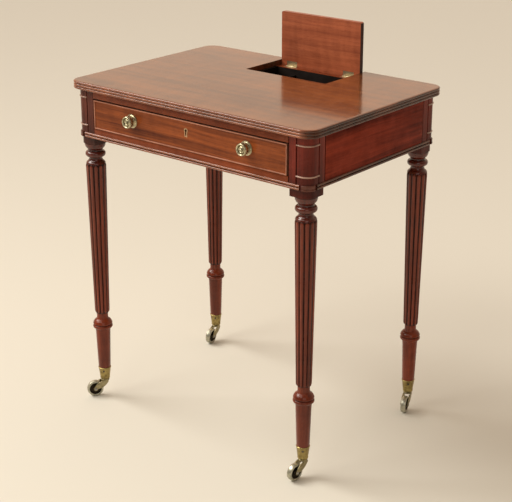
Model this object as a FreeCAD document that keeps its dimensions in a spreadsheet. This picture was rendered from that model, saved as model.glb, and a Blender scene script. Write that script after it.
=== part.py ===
"""A mahogany writing table on castors: one frieze drawer, and a pen well under a hinged flap.

X runs along the front to the right, Y to the back and Z up, in millimetres. The origin is on
the floor under the middle of the whole table, knobs included. The flap stands open at rest.
"""
import FreeCAD, Part
import math
import os
import types

import Sketcher

doc = FreeCAD.newDocument("writing_table")

SIZES = {
    "top_height": 730,
    "top_width": 635,
    "top_depth": 453,
    "top_thick": 17,
    "top_corner": 30,
    "reed_bulge": 2.2,
    "leg_span_x": 562,
    "leg_span_y": 380,
    "head_side": 48,
    "head_corner": 19,
    "head_foot": 594.5,
    "head_foot_side": 45,
    "panel_reach": 30,
    "astragal_high": 3.4,
    "astragal_proud": 1.8,
    "ring_height": 569.5,
    "ring_radius": 21.6,
    "shaft_top": 545,
    "shaft_foot": 202,
    "shaft_top_radius": 21.2,
    "shaft_foot_radius": 16,
    "reed_depth": 2.4,
    "low_neck_radius": 12.4,
    "bell_foot": 175.5,
    "bell_radius": 21.4,
    "ankle_top_radius": 16.2,
    "ankle_foot_radius": 13.4,
    "frieze_foot": 612,
    "rail_thick": 18,
    "bottom_rail_deep": 30,
    "drawer_floor": 632.5,
    "drawer_ceiling": 695,
    "bead_foot": 610,
    "bead_high": 11,
    "bead_proud": 3,
    "tenon_long": 20,
    "tenon_thick": 8,
    "tenon_shoulder": 10,
    "drawer_front_thick": 18,
    "drawer_back_end": 62,
    "drawer_side_thick": 9,
    "drawer_bottom_thick": 6,
    "drawer_play": 0.8,
    "cockbead_thick": 2.6,
    "cockbead_deep": 8,
    "cockbead_proud": 2,
    "knob_left_x": -145,
    "knob_right_x": 156,
    "knob_height": 668,
    "knob_reach": 19,
    "knob_radius": 12.8,
    "rose_radius": 14.5,
    "shank_radius": 2.5,
    "lock_middle": 2,
    "keyhole_height": 670.5,
    "lock_wide": 56,
    "lock_tall": 36,
    "lock_deep": 10,
    "bolt_wide": 20,
    "bolt_thick": 5,
    "bolt_travel": 7,
    "notch_left": -93,
    "notch_right": 119,
    "notch_front": 82.5,
    "flap_gap": 0.6,
    "hinge_back": 203.5,
    "hinge_height": 717,
    "hinge_long": 28,
    "hinge_inset": 30,
    "leaf_wide": 10,
    "leaf_thick": 1.2,
    "knuckle_radius": 1.7,
    "hinge_pin_radius": 0.9,
    "rim_height": 718.4,
    "back_rail_thick": 16,
    "well_floor": 660,
    "well_wall": 7,
    "divider_thick": 4,
    "divider_top": 706,
    "ink_wide": 46,
    "cup_top": 70,
    "cup_foot": 42,
    "cup_top_radius": 13.75,
    "cup_foot_radius": 10.4,
    "socket_foot": 51,
    "pintle_radius": 3,
    "running_gap": 0.3,
    "wheel_radius": 18.5,
    "wheel_wide": 11,
    "castor_trail": 23,
    "axle_radius": 2,
    "cheek_thick": 2.5,
    "screw_radius": 1.2,
}

# Where each castor trails, in degrees round from +X: the table was last pushed backwards.
TRAIL = {"front_left": -125, "front_right": -96, "back_left": -81, "back_right": -71}
CORNERS = {
    "front_left": (-1, -1),
    "front_right": (1, -1),
    "back_left": (-1, 1),
    "back_right": (1, 1),
}
REEDS = 12
UP = FreeCAD.Vector(0, 0, 1)
RIGHT = FreeCAD.Vector(1, 0, 0)


class Size:
    """A length that keeps its value in millimetres and the cell formula that drives it."""

    def __init__(self, value, text):
        self.value = float(value)
        self.text = text

    def __add__(self, other):
        other = as_size(other)
        return Size(self.value + other.value, f"({self.text} + {other.text})")

    def __sub__(self, other):
        other = as_size(other)
        return Size(self.value - other.value, f"({self.text} - {other.text})")

    def __mul__(self, other):
        other = as_size(other)
        return Size(self.value * other.value, f"({self.text} * {other.text})")

    def __truediv__(self, other):
        other = as_size(other)
        return Size(self.value / other.value, f"({self.text} / {other.text})")

    def __neg__(self):
        return Size(-self.value, f"(-1 * {self.text})")

    __radd__ = __add__
    __rmul__ = __mul__

    def __rsub__(self, other):
        return as_size(other) - self


def as_size(length):
    if isinstance(length, Size):
        return length
    return Size(length, f"{length:.6f}" if length >= 0 else f"(0 - {-length:.6f})")


def fill_sheet():
    """Writes the driving sizes to the sheet and returns them by name."""
    sheet = doc.addObject("Spreadsheet::Sheet", "dims")
    found = {}
    for row, (alias, value) in enumerate(SIZES.items(), start=1):
        sheet.set(f"A{row}", alias.replace("_", " "))
        sheet.set(f"B{row}", str(value))
        sheet.setAlias(f"B{row}", alias)
        found[alias] = Size(value, f"dims.{alias}")
    doc.recompute()
    return types.SimpleNamespace(**found)


d = fill_sheet()

# Lines that many pieces share. Y is counted from the middle of the carcass.
UNDERSIDE = d.top_height - d.top_thick
LEG_X = d.leg_span_x / 2
LEG_Y = d.leg_span_y / 2
FACE_X = LEG_X + d.head_side / 2
FACE_Y = LEG_Y + d.head_side / 2
INNER_X = LEG_X - d.head_side / 2
INNER_Y = LEG_Y - d.head_side / 2
CARCASS_MIDDLE = (FACE_Y + d.knob_reach - d.top_depth / 2) / 2
REED_HALF = d.top_thick / 6
REED_RADIUS = (REED_HALF * REED_HALF + d.reed_bulge * d.reed_bulge) / (2 * d.reed_bulge)
BOARD_X = d.top_width / 2 - d.reed_bulge
BOARD_Y = d.top_depth / 2 - d.reed_bulge
FLAP_UNDER = d.top_height - 4 * REED_HALF
BACK_RAIL_OUT = d.hinge_back - d.knuckle_radius - 0.4
BACK_RAIL_IN = BACK_RAIL_OUT - d.back_rail_thick
AXLE_HEIGHT = d.wheel_radius

nodes = {}


def node(name, piece):
    """Names a finished piece: its label is its file's name."""
    piece.Label = name
    nodes[name] = piece
    return piece


def drive(piece, prop, length):
    piece.setExpression(prop, as_size(length).text)


def place(piece, x=0, y=0, z=0, turn=None):
    """Puts a piece in the table. Y is counted from the middle of the carcass."""
    if turn is not None:
        piece.Placement = FreeCAD.Placement(FreeCAD.Vector(), turn)
    drive(piece, "Placement.Base.x", x)
    drive(piece, "Placement.Base.y", as_size(y) + CARCASS_MIDDLE)
    drive(piece, "Placement.Base.z", z)
    return piece


def board(name, x, y, z):
    """A sawn board between two limits on each axis."""
    piece = doc.addObject("Part::Box", name)
    for prop, (low, high) in zip(("Length", "Width", "Height"), (x, y, z)):
        drive(piece, prop, as_size(high) - low)
    return place(piece, x[0], y[0], z[0])


def rod(name, radius, length, x, y, z, turn=None):
    """A round rod that starts at a point and runs up, or along the turned axis."""
    piece = doc.addObject("Part::Cylinder", name)
    drive(piece, "Radius", radius)
    drive(piece, "Height", length)
    return place(piece, x, y, z, turn)


def join(name, pieces):
    whole = doc.addObject("Part::MultiFuse", name)
    whole.Shapes = pieces
    return whole


def group(name, pieces):
    """Separate solids that share one name."""
    whole = doc.addObject("Part::Compound", name)
    whole.Links = pieces
    return whole


def carve(name, base, tools):
    cut = doc.addObject("Part::Cut", name)
    cut.Base = base
    cut.Tool = tools[0] if len(tools) == 1 else join(name + "_cuts", tools)
    return cut


def new_body(name):
    return doc.addObject("PartDesign::Body", name)


def sketch_on(body, role, name, offset=None):
    """A sketch on one of the body's own origin planes, moved along the plane's normal."""
    sketch = body.newObject("Sketcher::SketchObject", name)
    plane = next(f for f in body.Origin.OriginFeatures if f.Role == role)
    sketch.AttachmentSupport = [(plane, "")]
    sketch.MapMode = "FlatFace"
    if offset is not None:
        drive(sketch, "AttachmentOffset.Base.z", offset)
    return sketch


def arc_between(start, end, radius, side):
    """The shorter arc from start to end. Side 1 bulges to the left of the way, -1 to the right."""
    along = end - start
    half = along.Length / 2
    across = FreeCAD.Vector(-along.y, along.x, 0).normalize()
    centre = (start + end) / 2 - across * side * math.sqrt(radius * radius - half * half)
    first, last = (end, start) if side > 0 else (start, end)
    begin = math.atan2(first.y - centre.y, first.x - centre.x)
    finish = math.atan2(last.y - centre.y, last.x - centre.x)
    if finish < begin:
        finish += 2 * math.pi
    return Part.ArcOfCircle(Part.Circle(centre, UP, radius), begin, finish)


def pin_point(edge, end, u, v):
    """What ties one end of an edge to the sheet: constraints, each with its length."""
    ties = []
    for kind, axis, length in (("DistanceX", -2, as_size(u)), ("DistanceY", -1, as_size(v))):
        if abs(length.value) < 1e-9:
            ties.append((Sketcher.Constraint("PointOnObject", edge, end, axis), None))
        else:
            ties.append((Sketcher.Constraint(kind, -1, 1, edge, end, length.value), length))
    return ties


def tie_down(sketch, ties):
    """Adds the constraints to a sketch and lets the sheet drive their lengths."""
    numbers = sketch.addConstraint([tie for tie, length in ties])
    for number, (tie, length) in zip(numbers, ties):
        if length is not None:
            drive(sketch, f"Constraints[{number}]", length)


def outline(sketch, corners, closed=True):
    """Draws sides from corner to corner. (u, v) starts a straight side, (u, v, (radius, side))
    a round one."""
    spots = [FreeCAD.Vector(as_size(c[0]).value, as_size(c[1]).value, 0) for c in corners]
    sides = len(corners) if closed else len(corners) - 1
    shapes = []
    for i in range(sides):
        start, end = spots[i], spots[(i + 1) % len(spots)]
        if len(corners[i]) == 3:
            radius, side = corners[i][2]
            shapes.append(arc_between(start, end, as_size(radius).value, side))
        else:
            shapes.append(Part.LineSegment(start, end))
    edges = sketch.addGeometry(shapes, False)
    # Round sides always run anticlockwise in a sketch, so some are drawn from their far end.
    backward = [len(c) == 3 and c[2][1] > 0 for c in corners]
    ties = []
    for i, edge in enumerate(edges):
        near, far = (2, 1) if backward[i] else (1, 2)
        ties += pin_point(edge, near, corners[i][0], corners[i][1])
        if i + 1 < sides or closed:
            after = (i + 1) % sides
            meet = ("Coincident", edge, far, edges[after], 2 if backward[after] else 1)
            ties.append((Sketcher.Constraint(*meet), None))
        else:
            ties += pin_point(edge, far, corners[i + 1][0], corners[i + 1][1])
        if len(corners[i]) == 3:
            radius = as_size(corners[i][2][0])
            ties.append((Sketcher.Constraint("Radius", edge, radius.value), radius))
    tie_down(sketch, ties)
    return sketch


def ring_outline(sketch, radius):
    """A circle round the sketch's own origin."""
    size = as_size(radius)
    edge = sketch.addGeometry(Part.Circle(FreeCAD.Vector(), UP, size.value), False)
    centre = Sketcher.Constraint("Coincident", edge, 3, -1, 1)
    tie_down(sketch, [(centre, None), (Sketcher.Constraint("Radius", edge, size.value), size)])
    return sketch


def pad(body, sketch, length, symmetric=False):
    feature = body.newObject("PartDesign::Pad", sketch.Name + "_pad")
    feature.Profile = sketch
    if symmetric:
        feature.SideType = "Symmetric"
    drive(feature, "Length", length)
    return feature


def pocket(body, sketch, length, symmetric=False):
    feature = body.newObject("PartDesign::Pocket", sketch.Name + "_pocket")
    feature.Profile = sketch
    if symmetric:
        feature.SideType = "Symmetric"
    drive(feature, "Length", length)
    return feature


def turned(name, profile):
    """A piece turned on the lathe: (radius, height) corners, revolved about the upright axis."""
    body = new_body(name)
    sketch = outline(sketch_on(body, "XZ_Plane", name + "_profile"), profile)
    spin = body.newObject("PartDesign::Revolution", name + "_turning")
    spin.Profile = sketch
    spin.ReferenceAxis = (sketch, ["V_Axis"])
    spin.Angle = 360
    return body


def reeded_edge(y, foot, count):
    """Corners of a stack of convex reeds on an edge that faces +Y."""
    return [(y, foot + 2 * REED_HALF * i, (REED_RADIUS, -1)) for i in range(count)]


# The top: one board with a three-reed edge, notched at the back for the flap.
def make_top():
    body = new_body("table_top")
    corner = d.top_corner - d.reed_bulge
    edge_path = [
        (d.notch_left, BOARD_Y),
        (corner - BOARD_X, BOARD_Y, (corner, -1)),
        (-BOARD_X, BOARD_Y - corner),
        (-BOARD_X, corner - BOARD_Y, (corner, -1)),
        (corner - BOARD_X, -BOARD_Y),
        (BOARD_X - corner, -BOARD_Y, (corner, -1)),
        (BOARD_X, corner - BOARD_Y),
        (BOARD_X, BOARD_Y - corner, (corner, -1)),
        (BOARD_X - corner, BOARD_Y),
        (d.notch_right, BOARD_Y),
    ]
    notch = [(d.notch_right, d.notch_front), (d.notch_left, d.notch_front)]
    plan = outline(sketch_on(body, "XY_Plane", "top_plan"), edge_path + notch)
    pad(body, plan, d.top_thick)
    spine = outline(sketch_on(body, "XY_Plane", "top_edge_path"), edge_path, closed=False)
    section = sketch_on(body, "YZ_Plane", "top_reeds", d.notch_left)
    reeds = reeded_edge(BOARD_Y, as_size(0), 3)
    outline(section, reeds + [(BOARD_Y, d.top_thick), (BOARD_Y - 1, d.top_thick), (BOARD_Y - 1, 0)])
    doc.recompute()
    sweep = body.newObject("PartDesign::AdditivePipe", "top_reeding")
    sweep.Profile = section
    sweep.Spine = (spine, [f"Edge{i + 1}" for i in range(len(edge_path) - 1)])
    node("table_top", place(body, z=UNDERSIDE))


# The legs: a square head with a rounded outer corner, turned and reeded below.
def leg_profile():
    neck = d.ring_radius - 6
    ring = d.ring_height
    bell = d.bell_foot
    core = 1.2
    shaft_core = d.shaft_top_radius - d.reed_depth - core
    foot_core = d.shaft_foot_radius - d.reed_depth - core
    return [
        (0, d.head_foot + 1),
        (22.3, d.head_foot + 1),
        (22.3, d.head_foot - 2, (16, 1)),
        (neck, ring + 10),
        (neck, ring + 7),
        (d.ring_radius - 5.2, ring + 6.2, (6.3, 1)),
        (d.ring_radius - 5.2, ring - 6.2),
        (neck - 1.4, ring - 8),
        (neck - 1.4, ring - 10, (12, -1)),
        (d.shaft_top_radius - 2.7, d.shaft_top + 7, (7, 1)),
        (d.shaft_top_radius + 0.4, d.shaft_top),
        (shaft_core, d.shaft_top),
        (foot_core, d.shaft_foot),
        (d.low_neck_radius, d.shaft_foot - 1),
        (d.low_neck_radius, bell + 16, (9, -1)),
        (d.bell_radius - 5.5, bell + 10),
        (d.bell_radius - 1.4, bell + 4.5, (4, 1)),
        (d.bell_radius - 0.8, bell - 0.5),
        (d.bell_radius - 2.2, bell - 2, (3.2, 1)),
        (d.bell_radius - 2.2, bell - 8),
        (d.ankle_top_radius + 0.8, bell - 9, (7, -1)),
        (d.ankle_top_radius, bell - 14),
        (d.ankle_foot_radius, d.cup_top + 0.5),
        (d.cup_top_radius - 1.65, d.cup_top + 0.5),
        (d.cup_foot_radius - 1.2, d.socket_foot),
        (0, d.socket_foot),
    ]


def reed_section(body, name, radius, height):
    """The shaft's cross-section: convex reeds side by side round a circle."""
    valley = as_size(radius) - d.reed_depth
    step = 2 * math.pi / REEDS
    half = valley * math.sin(step / 2)
    rise = as_size(radius) - valley * math.cos(step / 2)
    bend = (half * half + rise * rise) / (2 * rise)
    ring = [
        (valley * math.cos(step * i), valley * math.sin(step * i), (bend, -1)) for i in range(REEDS)
    ]
    return outline(sketch_on(body, "XY_Plane", name, height), ring)


def make_leg(corner, tenons):
    side_x, side_y = CORNERS[corner]
    name = "leg_" + corner
    turn_side = -side_x * side_y
    body = turned(name + "_wood", leg_profile())

    def corner_plan(label, half, inner, radius, height):
        """A block round the axis that is cut square at inner and rounded at the outer corner."""
        plan = sketch_on(body, "XY_Plane", f"{name}_{label}", height)
        return outline(
            plan,
            [
                (side_x * inner, side_y * inner),
                (side_x * half, side_y * inner),
                (side_x * half, side_y * (half - radius), (radius, turn_side)),
                (side_x * (half - radius), side_y * half),
                (side_x * inner, side_y * half),
            ],
        )

    half = d.head_side / 2
    foot_half = d.head_foot_side / 2
    radius = d.head_corner
    foot = corner_plan("foot_block", foot_half, -foot_half, radius - 1, d.head_foot)
    pad(body, foot, d.bead_foot - d.head_foot)
    head = corner_plan("head", half, -half, radius, d.bead_foot)
    pad(body, head, UNDERSIDE - d.bead_foot)
    bead_half = half + d.bead_proud
    bead = corner_plan("bead", bead_half, half - radius, radius + d.bead_proud - 0.02, d.bead_foot)
    pad(body, bead, d.bead_high)
    band_half = half + d.astragal_proud
    for label, middle in (("low", d.drawer_floor + 4), ("high", d.drawer_ceiling + 1)):
        band = corner_plan(
            f"astragal_{label}",
            band_half,
            half - d.panel_reach,
            radius + d.astragal_proud,
            middle - d.astragal_high / 2,
        )
        pad(body, band, d.astragal_high)
    reeds_top = reed_section(body, name + "_reeds_top", d.shaft_top_radius, d.shaft_top + 1)
    reeds_foot = reed_section(body, name + "_reeds_foot", d.shaft_foot_radius, d.shaft_foot + 2)
    doc.recompute()
    shaft = body.newObject("PartDesign::AdditiveLoft", name + "_reeds")
    shaft.Profile = reeds_top
    shaft.Sections = [reeds_foot]
    shaft.Ruled = True
    place(body, side_x * LEG_X, side_y * LEG_Y)
    node(name, carve(name, body, tenons))


# The frame: rails tenoned into the legs. Each tenon also cuts its own mortise.
def tenon_limits(centre):
    return (centre - d.tenon_thick / 2, centre + d.tenon_thick / 2)


def make_frame():
    mortises = {corner: [] for corner in CORNERS}
    rail_in = FACE_X - d.rail_thick
    tall = (d.frieze_foot + d.tenon_shoulder, UNDERSIDE - d.tenon_shoulder)
    whole = (d.frieze_foot, UNDERSIDE)

    for side, sign in (("left", -1), ("right", 1)):
        name = side + "_side_rail"
        limits = sorted((sign * rail_in, sign * FACE_X), key=lambda s: s.value)
        pieces = [board(name + "_board", limits, (-INNER_Y, INNER_Y), whole)]
        across = tenon_limits(sign * (FACE_X - d.rail_thick / 2))
        for end, end_sign in (("front", -1), ("back", 1)):
            reach = sorted(
                (end_sign * INNER_Y, end_sign * (INNER_Y + d.tenon_long)), key=lambda s: s.value
            )
            tenon = board(f"{name}_{end}_tenon", across, reach, tall)
            pieces.append(tenon)
            mortises[f"{end}_{side}"].append(tenon)
        node(name, join(name, pieces))

    def cross_rail(name, end, y, z, tenon_z, extra=()):
        """A rail along X between two legs, with a tenon at each end."""
        pieces = [board(name + "_board", (-INNER_X, INNER_X), y, z), *extra]
        across = tenon_limits((as_size(y[0]) + y[1]) / 2)
        for side, sign in (("left", -1), ("right", 1)):
            reach = sorted((sign * INNER_X, sign * (INNER_X + d.tenon_long)), key=lambda s: s.value)
            tenon = board(f"{name}_{side}_tenon", reach, across, tenon_z)
            pieces.append(tenon)
            mortises[f"{end}_{side}"].append(tenon)
        return join(name, pieces)

    ledge = board(
        "back_rail_ledge",
        (d.notch_left, d.notch_right),
        (BACK_RAIL_IN, BACK_RAIL_OUT),
        (UNDERSIDE, d.rim_height),
    )
    back = cross_rail("back_rail_wood", "back", (BACK_RAIL_IN, BACK_RAIL_OUT), whole, tall, [ledge])
    seats = [
        board(
            f"leaf_seat_{i}",
            (middle - d.hinge_long / 2, middle + d.hinge_long / 2),
            (BACK_RAIL_OUT - d.leaf_wide, BACK_RAIL_OUT),
            (d.rim_height - d.leaf_thick, d.rim_height),
        )
        for i, middle in enumerate(hinge_middles())
    ]
    node("back_rail", carve("back_rail", back, seats))

    top_z = (d.drawer_ceiling, UNDERSIDE)
    top_tenon = (d.drawer_ceiling + 3, UNDERSIDE - 3)
    top_y = (-FACE_Y, d.rail_thick - FACE_Y)
    top = cross_rail("front_top_rail_wood", "front", top_y, top_z, top_tenon)
    keep = board("bolt_mortise", bolt_x(0.6), bolt_y(0.6), (d.drawer_ceiling - 1, d.drawer_ceiling + 9))
    node("front_top_rail", carve("front_top_rail", top, [keep]))

    low_z = (d.frieze_foot, d.drawer_floor)
    low_tenon = (d.frieze_foot + 3, d.drawer_floor - 3)
    low_y = (-FACE_Y, d.bottom_rail_deep - FACE_Y)
    node("front_bottom_rail", cross_rail("front_bottom_rail", "front", low_y, low_z, low_tenon))

    for corner in CORNERS:
        make_leg(corner, mortises[corner])


def make_beads():
    """Double beads planted along the foot of the frieze, between the rounded corners."""
    run_x = FACE_X - d.head_corner - 1
    run_y = FACE_Y - d.head_corner - 1
    strips = []
    for i in range(2):
        z = (d.bead_foot + d.bead_high / 2 * i, d.bead_foot + d.bead_high / 2 * (i + 1))
        front = (-FACE_Y - d.bead_proud, -FACE_Y)
        left = (-FACE_X - d.bead_proud, -FACE_X)
        right = (FACE_X, FACE_X + d.bead_proud)
        for label, x, y in (
            ("front", (-run_x, run_x), front),
            ("left", left, (-run_y, run_y)),
            ("right", right, (-run_y, run_y)),
        ):
            strips.append(board(f"bead_{label}_{i}", x, y, z))
    node("frieze_beads", group("frieze_beads", strips))


# Inside the frieze: what the drawer slides on, under and against, and what holds the top.
def make_drawer_guides():
    rail_in = FACE_X - d.rail_thick
    guide_in = INNER_X - 1.5
    runner_in = INNER_X - 19
    front = d.bottom_rail_deep - FACE_Y
    runner_top = d.drawer_floor + 0.5
    runner_foot = runner_top - 12
    kickers = []
    for side, sign in (("left", -1), ("right", 1)):

        def across(low, high):
            return sorted((sign * low, sign * high), key=lambda s: s.value)

        name = "drawer_runner_" + side
        strip = board(
            name + "_strip", across(runner_in, INNER_X), (front, INNER_Y), (runner_foot, runner_top)
        )
        web = board(
            name + "_web", across(INNER_X, rail_in), (-INNER_Y, INNER_Y), (runner_foot, runner_top)
        )
        guide = board(
            name + "_guide", across(guide_in, rail_in), (-INNER_Y, INNER_Y), (runner_top, runner_top + 22)
        )
        node(name, join(name, [strip, web, guide]))
        kickers.append(
            board(
                "kicker_" + side,
                across(runner_in, INNER_X),
                (d.rail_thick - FACE_Y, INNER_Y),
                (d.drawer_ceiling, UNDERSIDE),
            )
        )
    node("drawer_kickers", group("drawer_kickers", kickers))

    stop_front = d.drawer_front_thick - FACE_Y + 0.3
    stops = [
        board(
            f"stop_{i}",
            (x - 15, x + 15),
            (stop_front, stop_front + 9),
            (d.drawer_floor, d.drawer_floor + 5.5),
        )
        for i, x in enumerate((as_size(-150), as_size(150)))
    ]
    node("drawer_stops", group("drawer_stops", stops))

    block = 15
    blocks, screws = [], []
    spots = [(sign * (rail_in - block / 2), as_size(y)) for sign in (-1, 1) for y in (-90, 60)]
    spots += [(as_size(x), BACK_RAIL_IN - block / 2) for x in (-180, 180)]
    for i, (x, y) in enumerate(spots):
        along_y = i < 4
        half_x = block / 2 if along_y else 25
        half_y = 25 if along_y else block / 2
        blocks.append(
            board(
                f"glue_block_{i}",
                (x - half_x, x + half_x),
                (y - half_y, y + half_y),
                (UNDERSIDE - block, UNDERSIDE),
            )
        )
        shank = rod(f"top_screw_shank_{i}", 2, block + 10, x, y, UNDERSIDE - block)
        head = rod(f"top_screw_head_{i}", 4, 2.5, x, y, UNDERSIDE - block - 2.5)
        screws.append(join(f"top_screw_{i}", [shank, head]))
    node("top_glue_blocks", group("top_glue_blocks", blocks))
    node("top_screws", group("top_screws", screws))


# The drawer: lapped front with a cockbead, thin sides, and a bottom held in grooves.
def bolt_x(gap):
    half = d.bolt_wide / 2 + gap
    return (d.lock_middle - half, d.lock_middle + half)


def bolt_y(gap):
    middle = d.drawer_front_thick - FACE_Y - d.lock_deep / 2
    half = d.bolt_thick / 2 + gap
    return (middle - half, middle + half)


def keyhole_outline(sketch, margin):
    """A round eye over a tapered slot, grown by a margin, or shrunk by one below nought."""
    eye = 3.5 + margin
    foot = 2.3 + margin
    side, rise = 0.72 * eye, 0.69 * eye
    x = d.lock_middle
    z = d.keyhole_height + 4
    low = z - 11.5 - margin
    return outline(
        sketch,
        [
            (x - foot, low),
            (x + foot, low),
            (x + side, z - rise, (eye, -1)),
            (x + side, z + rise, (eye, -1)),
            (x - side, z + rise, (eye, -1)),
            (x - side, z - rise),
        ],
    )


def keyhole_plug(name, margin, front, deep):
    """A solid of the keyhole's shape that reaches back from a plane of the drawer front."""
    body = new_body(name)
    sketch = keyhole_outline(sketch_on(body, "XZ_Plane", name + "_shape"), margin)
    feature = pad(body, sketch, deep)
    feature.Reversed = True
    return place(body, 0, front)


def make_drawer():
    out_x = INNER_X - 1.4
    low = d.drawer_floor + d.drawer_play
    high = d.drawer_ceiling - d.drawer_play
    front = -FACE_Y
    inside = d.drawer_front_thick - FACE_Y
    bead_back = d.cockbead_deep - d.cockbead_proud - FACE_Y
    face_x = out_x - d.cockbead_thick
    face_low = low + d.cockbead_thick
    face_high = high - d.cockbead_thick
    side_x = INNER_X - 3
    side_in = side_x - d.drawer_side_thick
    side_high = high - 4
    lap = inside - 12
    groove = 4
    floor = low + 7
    floor_top = floor + d.drawer_bottom_thick

    sides, laps = {}, []
    bottom = board(
        "drawer_bottom",
        (-(side_in + groove), side_in + groove),
        (inside - groove, d.drawer_back_end),
        (floor, floor_top),
    )
    for label, sign in (("left", -1), ("right", 1)):
        name = "drawer_side_" + label
        limits = sorted((sign * side_in, sign * side_x), key=lambda s: s.value)
        sides[label] = board(name + "_board", limits, (lap, d.drawer_back_end), (low, side_high))
        laps.append(sides[label])
        node(name, carve(name, sides[label], [bottom]))
    node("drawer_bottom", bottom)
    node(
        "drawer_back",
        board(
            "drawer_back",
            (-side_in, side_in),
            (d.drawer_back_end - 8, d.drawer_back_end),
            (floor_top, side_high - 4),
        ),
    )

    core = board("drawer_front_core", (-out_x, out_x), (bead_back, inside), (low, high))
    face = board("drawer_front_face", (-face_x, face_x), (front, bead_back), (face_low, face_high))
    cuts = [*laps, bottom]
    knob_spots = {"left": d.knob_left_x, "right": d.knob_right_x}
    along = FreeCAD.Rotation(RIGHT, -90)
    for label, x in knob_spots.items():
        hole = rod(
            "knob_hole_" + label, d.shank_radius, d.drawer_front_thick, x, front, d.knob_height, along
        )
        cuts.append(hole)
    case_low = high - d.lock_tall
    case_x = (d.lock_middle - d.lock_wide / 2, d.lock_middle + d.lock_wide / 2)
    case_y = (inside - d.lock_deep, inside)
    cuts.append(board("lock_recess", case_x, case_y, (case_low, high)))
    cuts.append(keyhole_plug("keyhole_through", -1.2, front, d.drawer_front_thick))
    thread_deep = 2.4
    cuts.append(keyhole_plug("escutcheon_seat", 1.5, front, thread_deep))
    wood = join("drawer_front_wood", [core, face])
    node("drawer_front", carve("drawer_front", wood, cuts))

    strip_y = (front - d.cockbead_proud, bead_back)
    strips = [
        board("cockbead_top", (-out_x, out_x), strip_y, (face_high, high)),
        board("cockbead_foot", (-out_x, out_x), strip_y, (low, face_low)),
        board("cockbead_left", (-out_x, -face_x), strip_y, (face_low, face_high)),
        board("cockbead_right", (face_x, out_x), strip_y, (face_low, face_high)),
    ]
    node("drawer_cockbead", group("drawer_cockbead", strips))

    thread = keyhole_plug("escutcheon_outside", 1.5, front - 0.3, thread_deep + 0.3)
    opening = keyhole_plug("escutcheon_inside", -1, front - 1, thread_deep + 2)
    node("escutcheon", carve("escutcheon", thread, [opening]))
    make_lock(case_x, case_y, (case_low, high))
    make_knobs(knob_spots, front, inside)


def make_lock(case_x, case_y, case_z):
    """A brass box lock let into the back of the drawer front, with a bolt that lifts."""
    bolt_low = d.keyhole_height + 9
    bolt_top = case_z[1] - 0.3
    channel = board("bolt_channel", bolt_x(0.2), bolt_y(0.2), (bolt_low - 0.3, case_z[1] + 1))
    key_way = keyhole_plug("key_way", -0.9, case_y[0] - 1, d.lock_deep - 1)
    box = board("lock_box", case_x, case_y, case_z)
    node("lock_case", carve("lock_case", box, [channel, key_way]))
    node("lock_bolt", board("lock_bolt", bolt_x(0), bolt_y(0), (bolt_low, bolt_top)))
    forward = FreeCAD.Rotation(RIGHT, 90)
    screws = []
    for i, x in enumerate((case_x[0] + 5, case_x[1] - 5)):
        for j, z in enumerate((case_z[0] + 5, case_z[1] - 6)):
            screws.append(rod(f"lock_screw_{i}{j}", d.screw_radius, 13, x, case_y[1], z, forward))
    node("lock_screws", group("lock_screws", screws))


def make_knobs(spots, front, inside):
    """Turned knobs: a round rose against the wood, a waisted neck, a ringed head, and a nut."""
    rose_thick = 2.6
    reach = d.knob_reach
    head = d.knob_radius
    forward = FreeCAD.Rotation(RIGHT, 90)
    shank_end = d.drawer_front_thick + 5
    roses, nuts = [], []
    for label, x in spots.items():
        knob = turned(
            "knob_" + label,
            [
                (0, -shank_end),
                (d.shank_radius, -shank_end),
                (d.shank_radius, rose_thick),
                (10.6, rose_thick),
                (10.6, rose_thick + 2, (12, 1)),
                (9.8, reach - 12),
                (head - 2, reach - 10),
                (head, reach - 8, (4, -1)),
                (head, reach - 4),
                (head - 2, reach - 2.2),
                (head - 4.5, reach - 1.2),
                (head - 5, reach - 2),
                (head - 8, reach - 2),
                (head - 8.5, reach - 0.6, (6, -1)),
                (3, reach),
                (0, reach),
            ],
        )
        node("knob_" + label, place(knob, x, front, d.knob_height, forward))
        rose = turned(
            "rose_" + label,
            [
                (d.shank_radius, 0),
                (d.rose_radius, 0),
                (d.rose_radius, 1),
                (d.rose_radius - 2, rose_thick),
                (d.shank_radius, rose_thick),
            ],
        )
        roses.append(place(rose, x, front, d.knob_height, forward))
        nut = new_body("nut_" + label)
        flats = sketch_on(nut, "XY_Plane", f"nut_{label}_flats")
        corners = [math.radians(60 * i) for i in range(6)]
        outline(flats, [(as_size(5.2 * math.cos(a)), as_size(5.2 * math.sin(a))) for a in corners])
        ring_outline(flats, d.shank_radius)
        pad(nut, flats, 4)
        place(nut, x, inside, d.knob_height, FreeCAD.Rotation(RIGHT, -90))
        nuts.append(nut)
    node("knob_roses", group("knob_roses", roses))
    node("knob_nuts", group("knob_nuts", nuts))


# The pen well: a box hung in the notch, whose rim carries the closed flap.
def make_well():
    wall = d.well_wall
    left, right = d.notch_left, d.notch_right
    depth = (d.notch_front, BACK_RAIL_IN)
    z = (d.well_floor, d.rim_height)
    node("well_left", board("well_left", (left, left + wall), depth, z))
    node("well_right", board("well_right", (right - wall, right), depth, z))
    front = (d.notch_front, d.notch_front + wall)
    node("well_front", board("well_front", (left + wall, right - wall), front, z))
    node("well_bottom", board("well_bottom", (left, right), depth, (d.well_floor - 6, d.well_floor)))
    first = left + wall + d.ink_wide
    second = right - wall - d.ink_wide - d.divider_thick
    dividers = [
        board(
            f"divider_{i}",
            (x, x + d.divider_thick),
            (front[1], BACK_RAIL_IN),
            (d.well_floor, d.divider_top),
        )
        for i, x in enumerate((first, second))
    ]
    node("well_dividers", group("well_dividers", dividers))


# The flap and its two butt hinges, drawn closed and then turned up about the hinge pins.
def hinge_middles():
    return (d.notch_left + d.hinge_inset, d.notch_right - d.hinge_inset)


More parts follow.
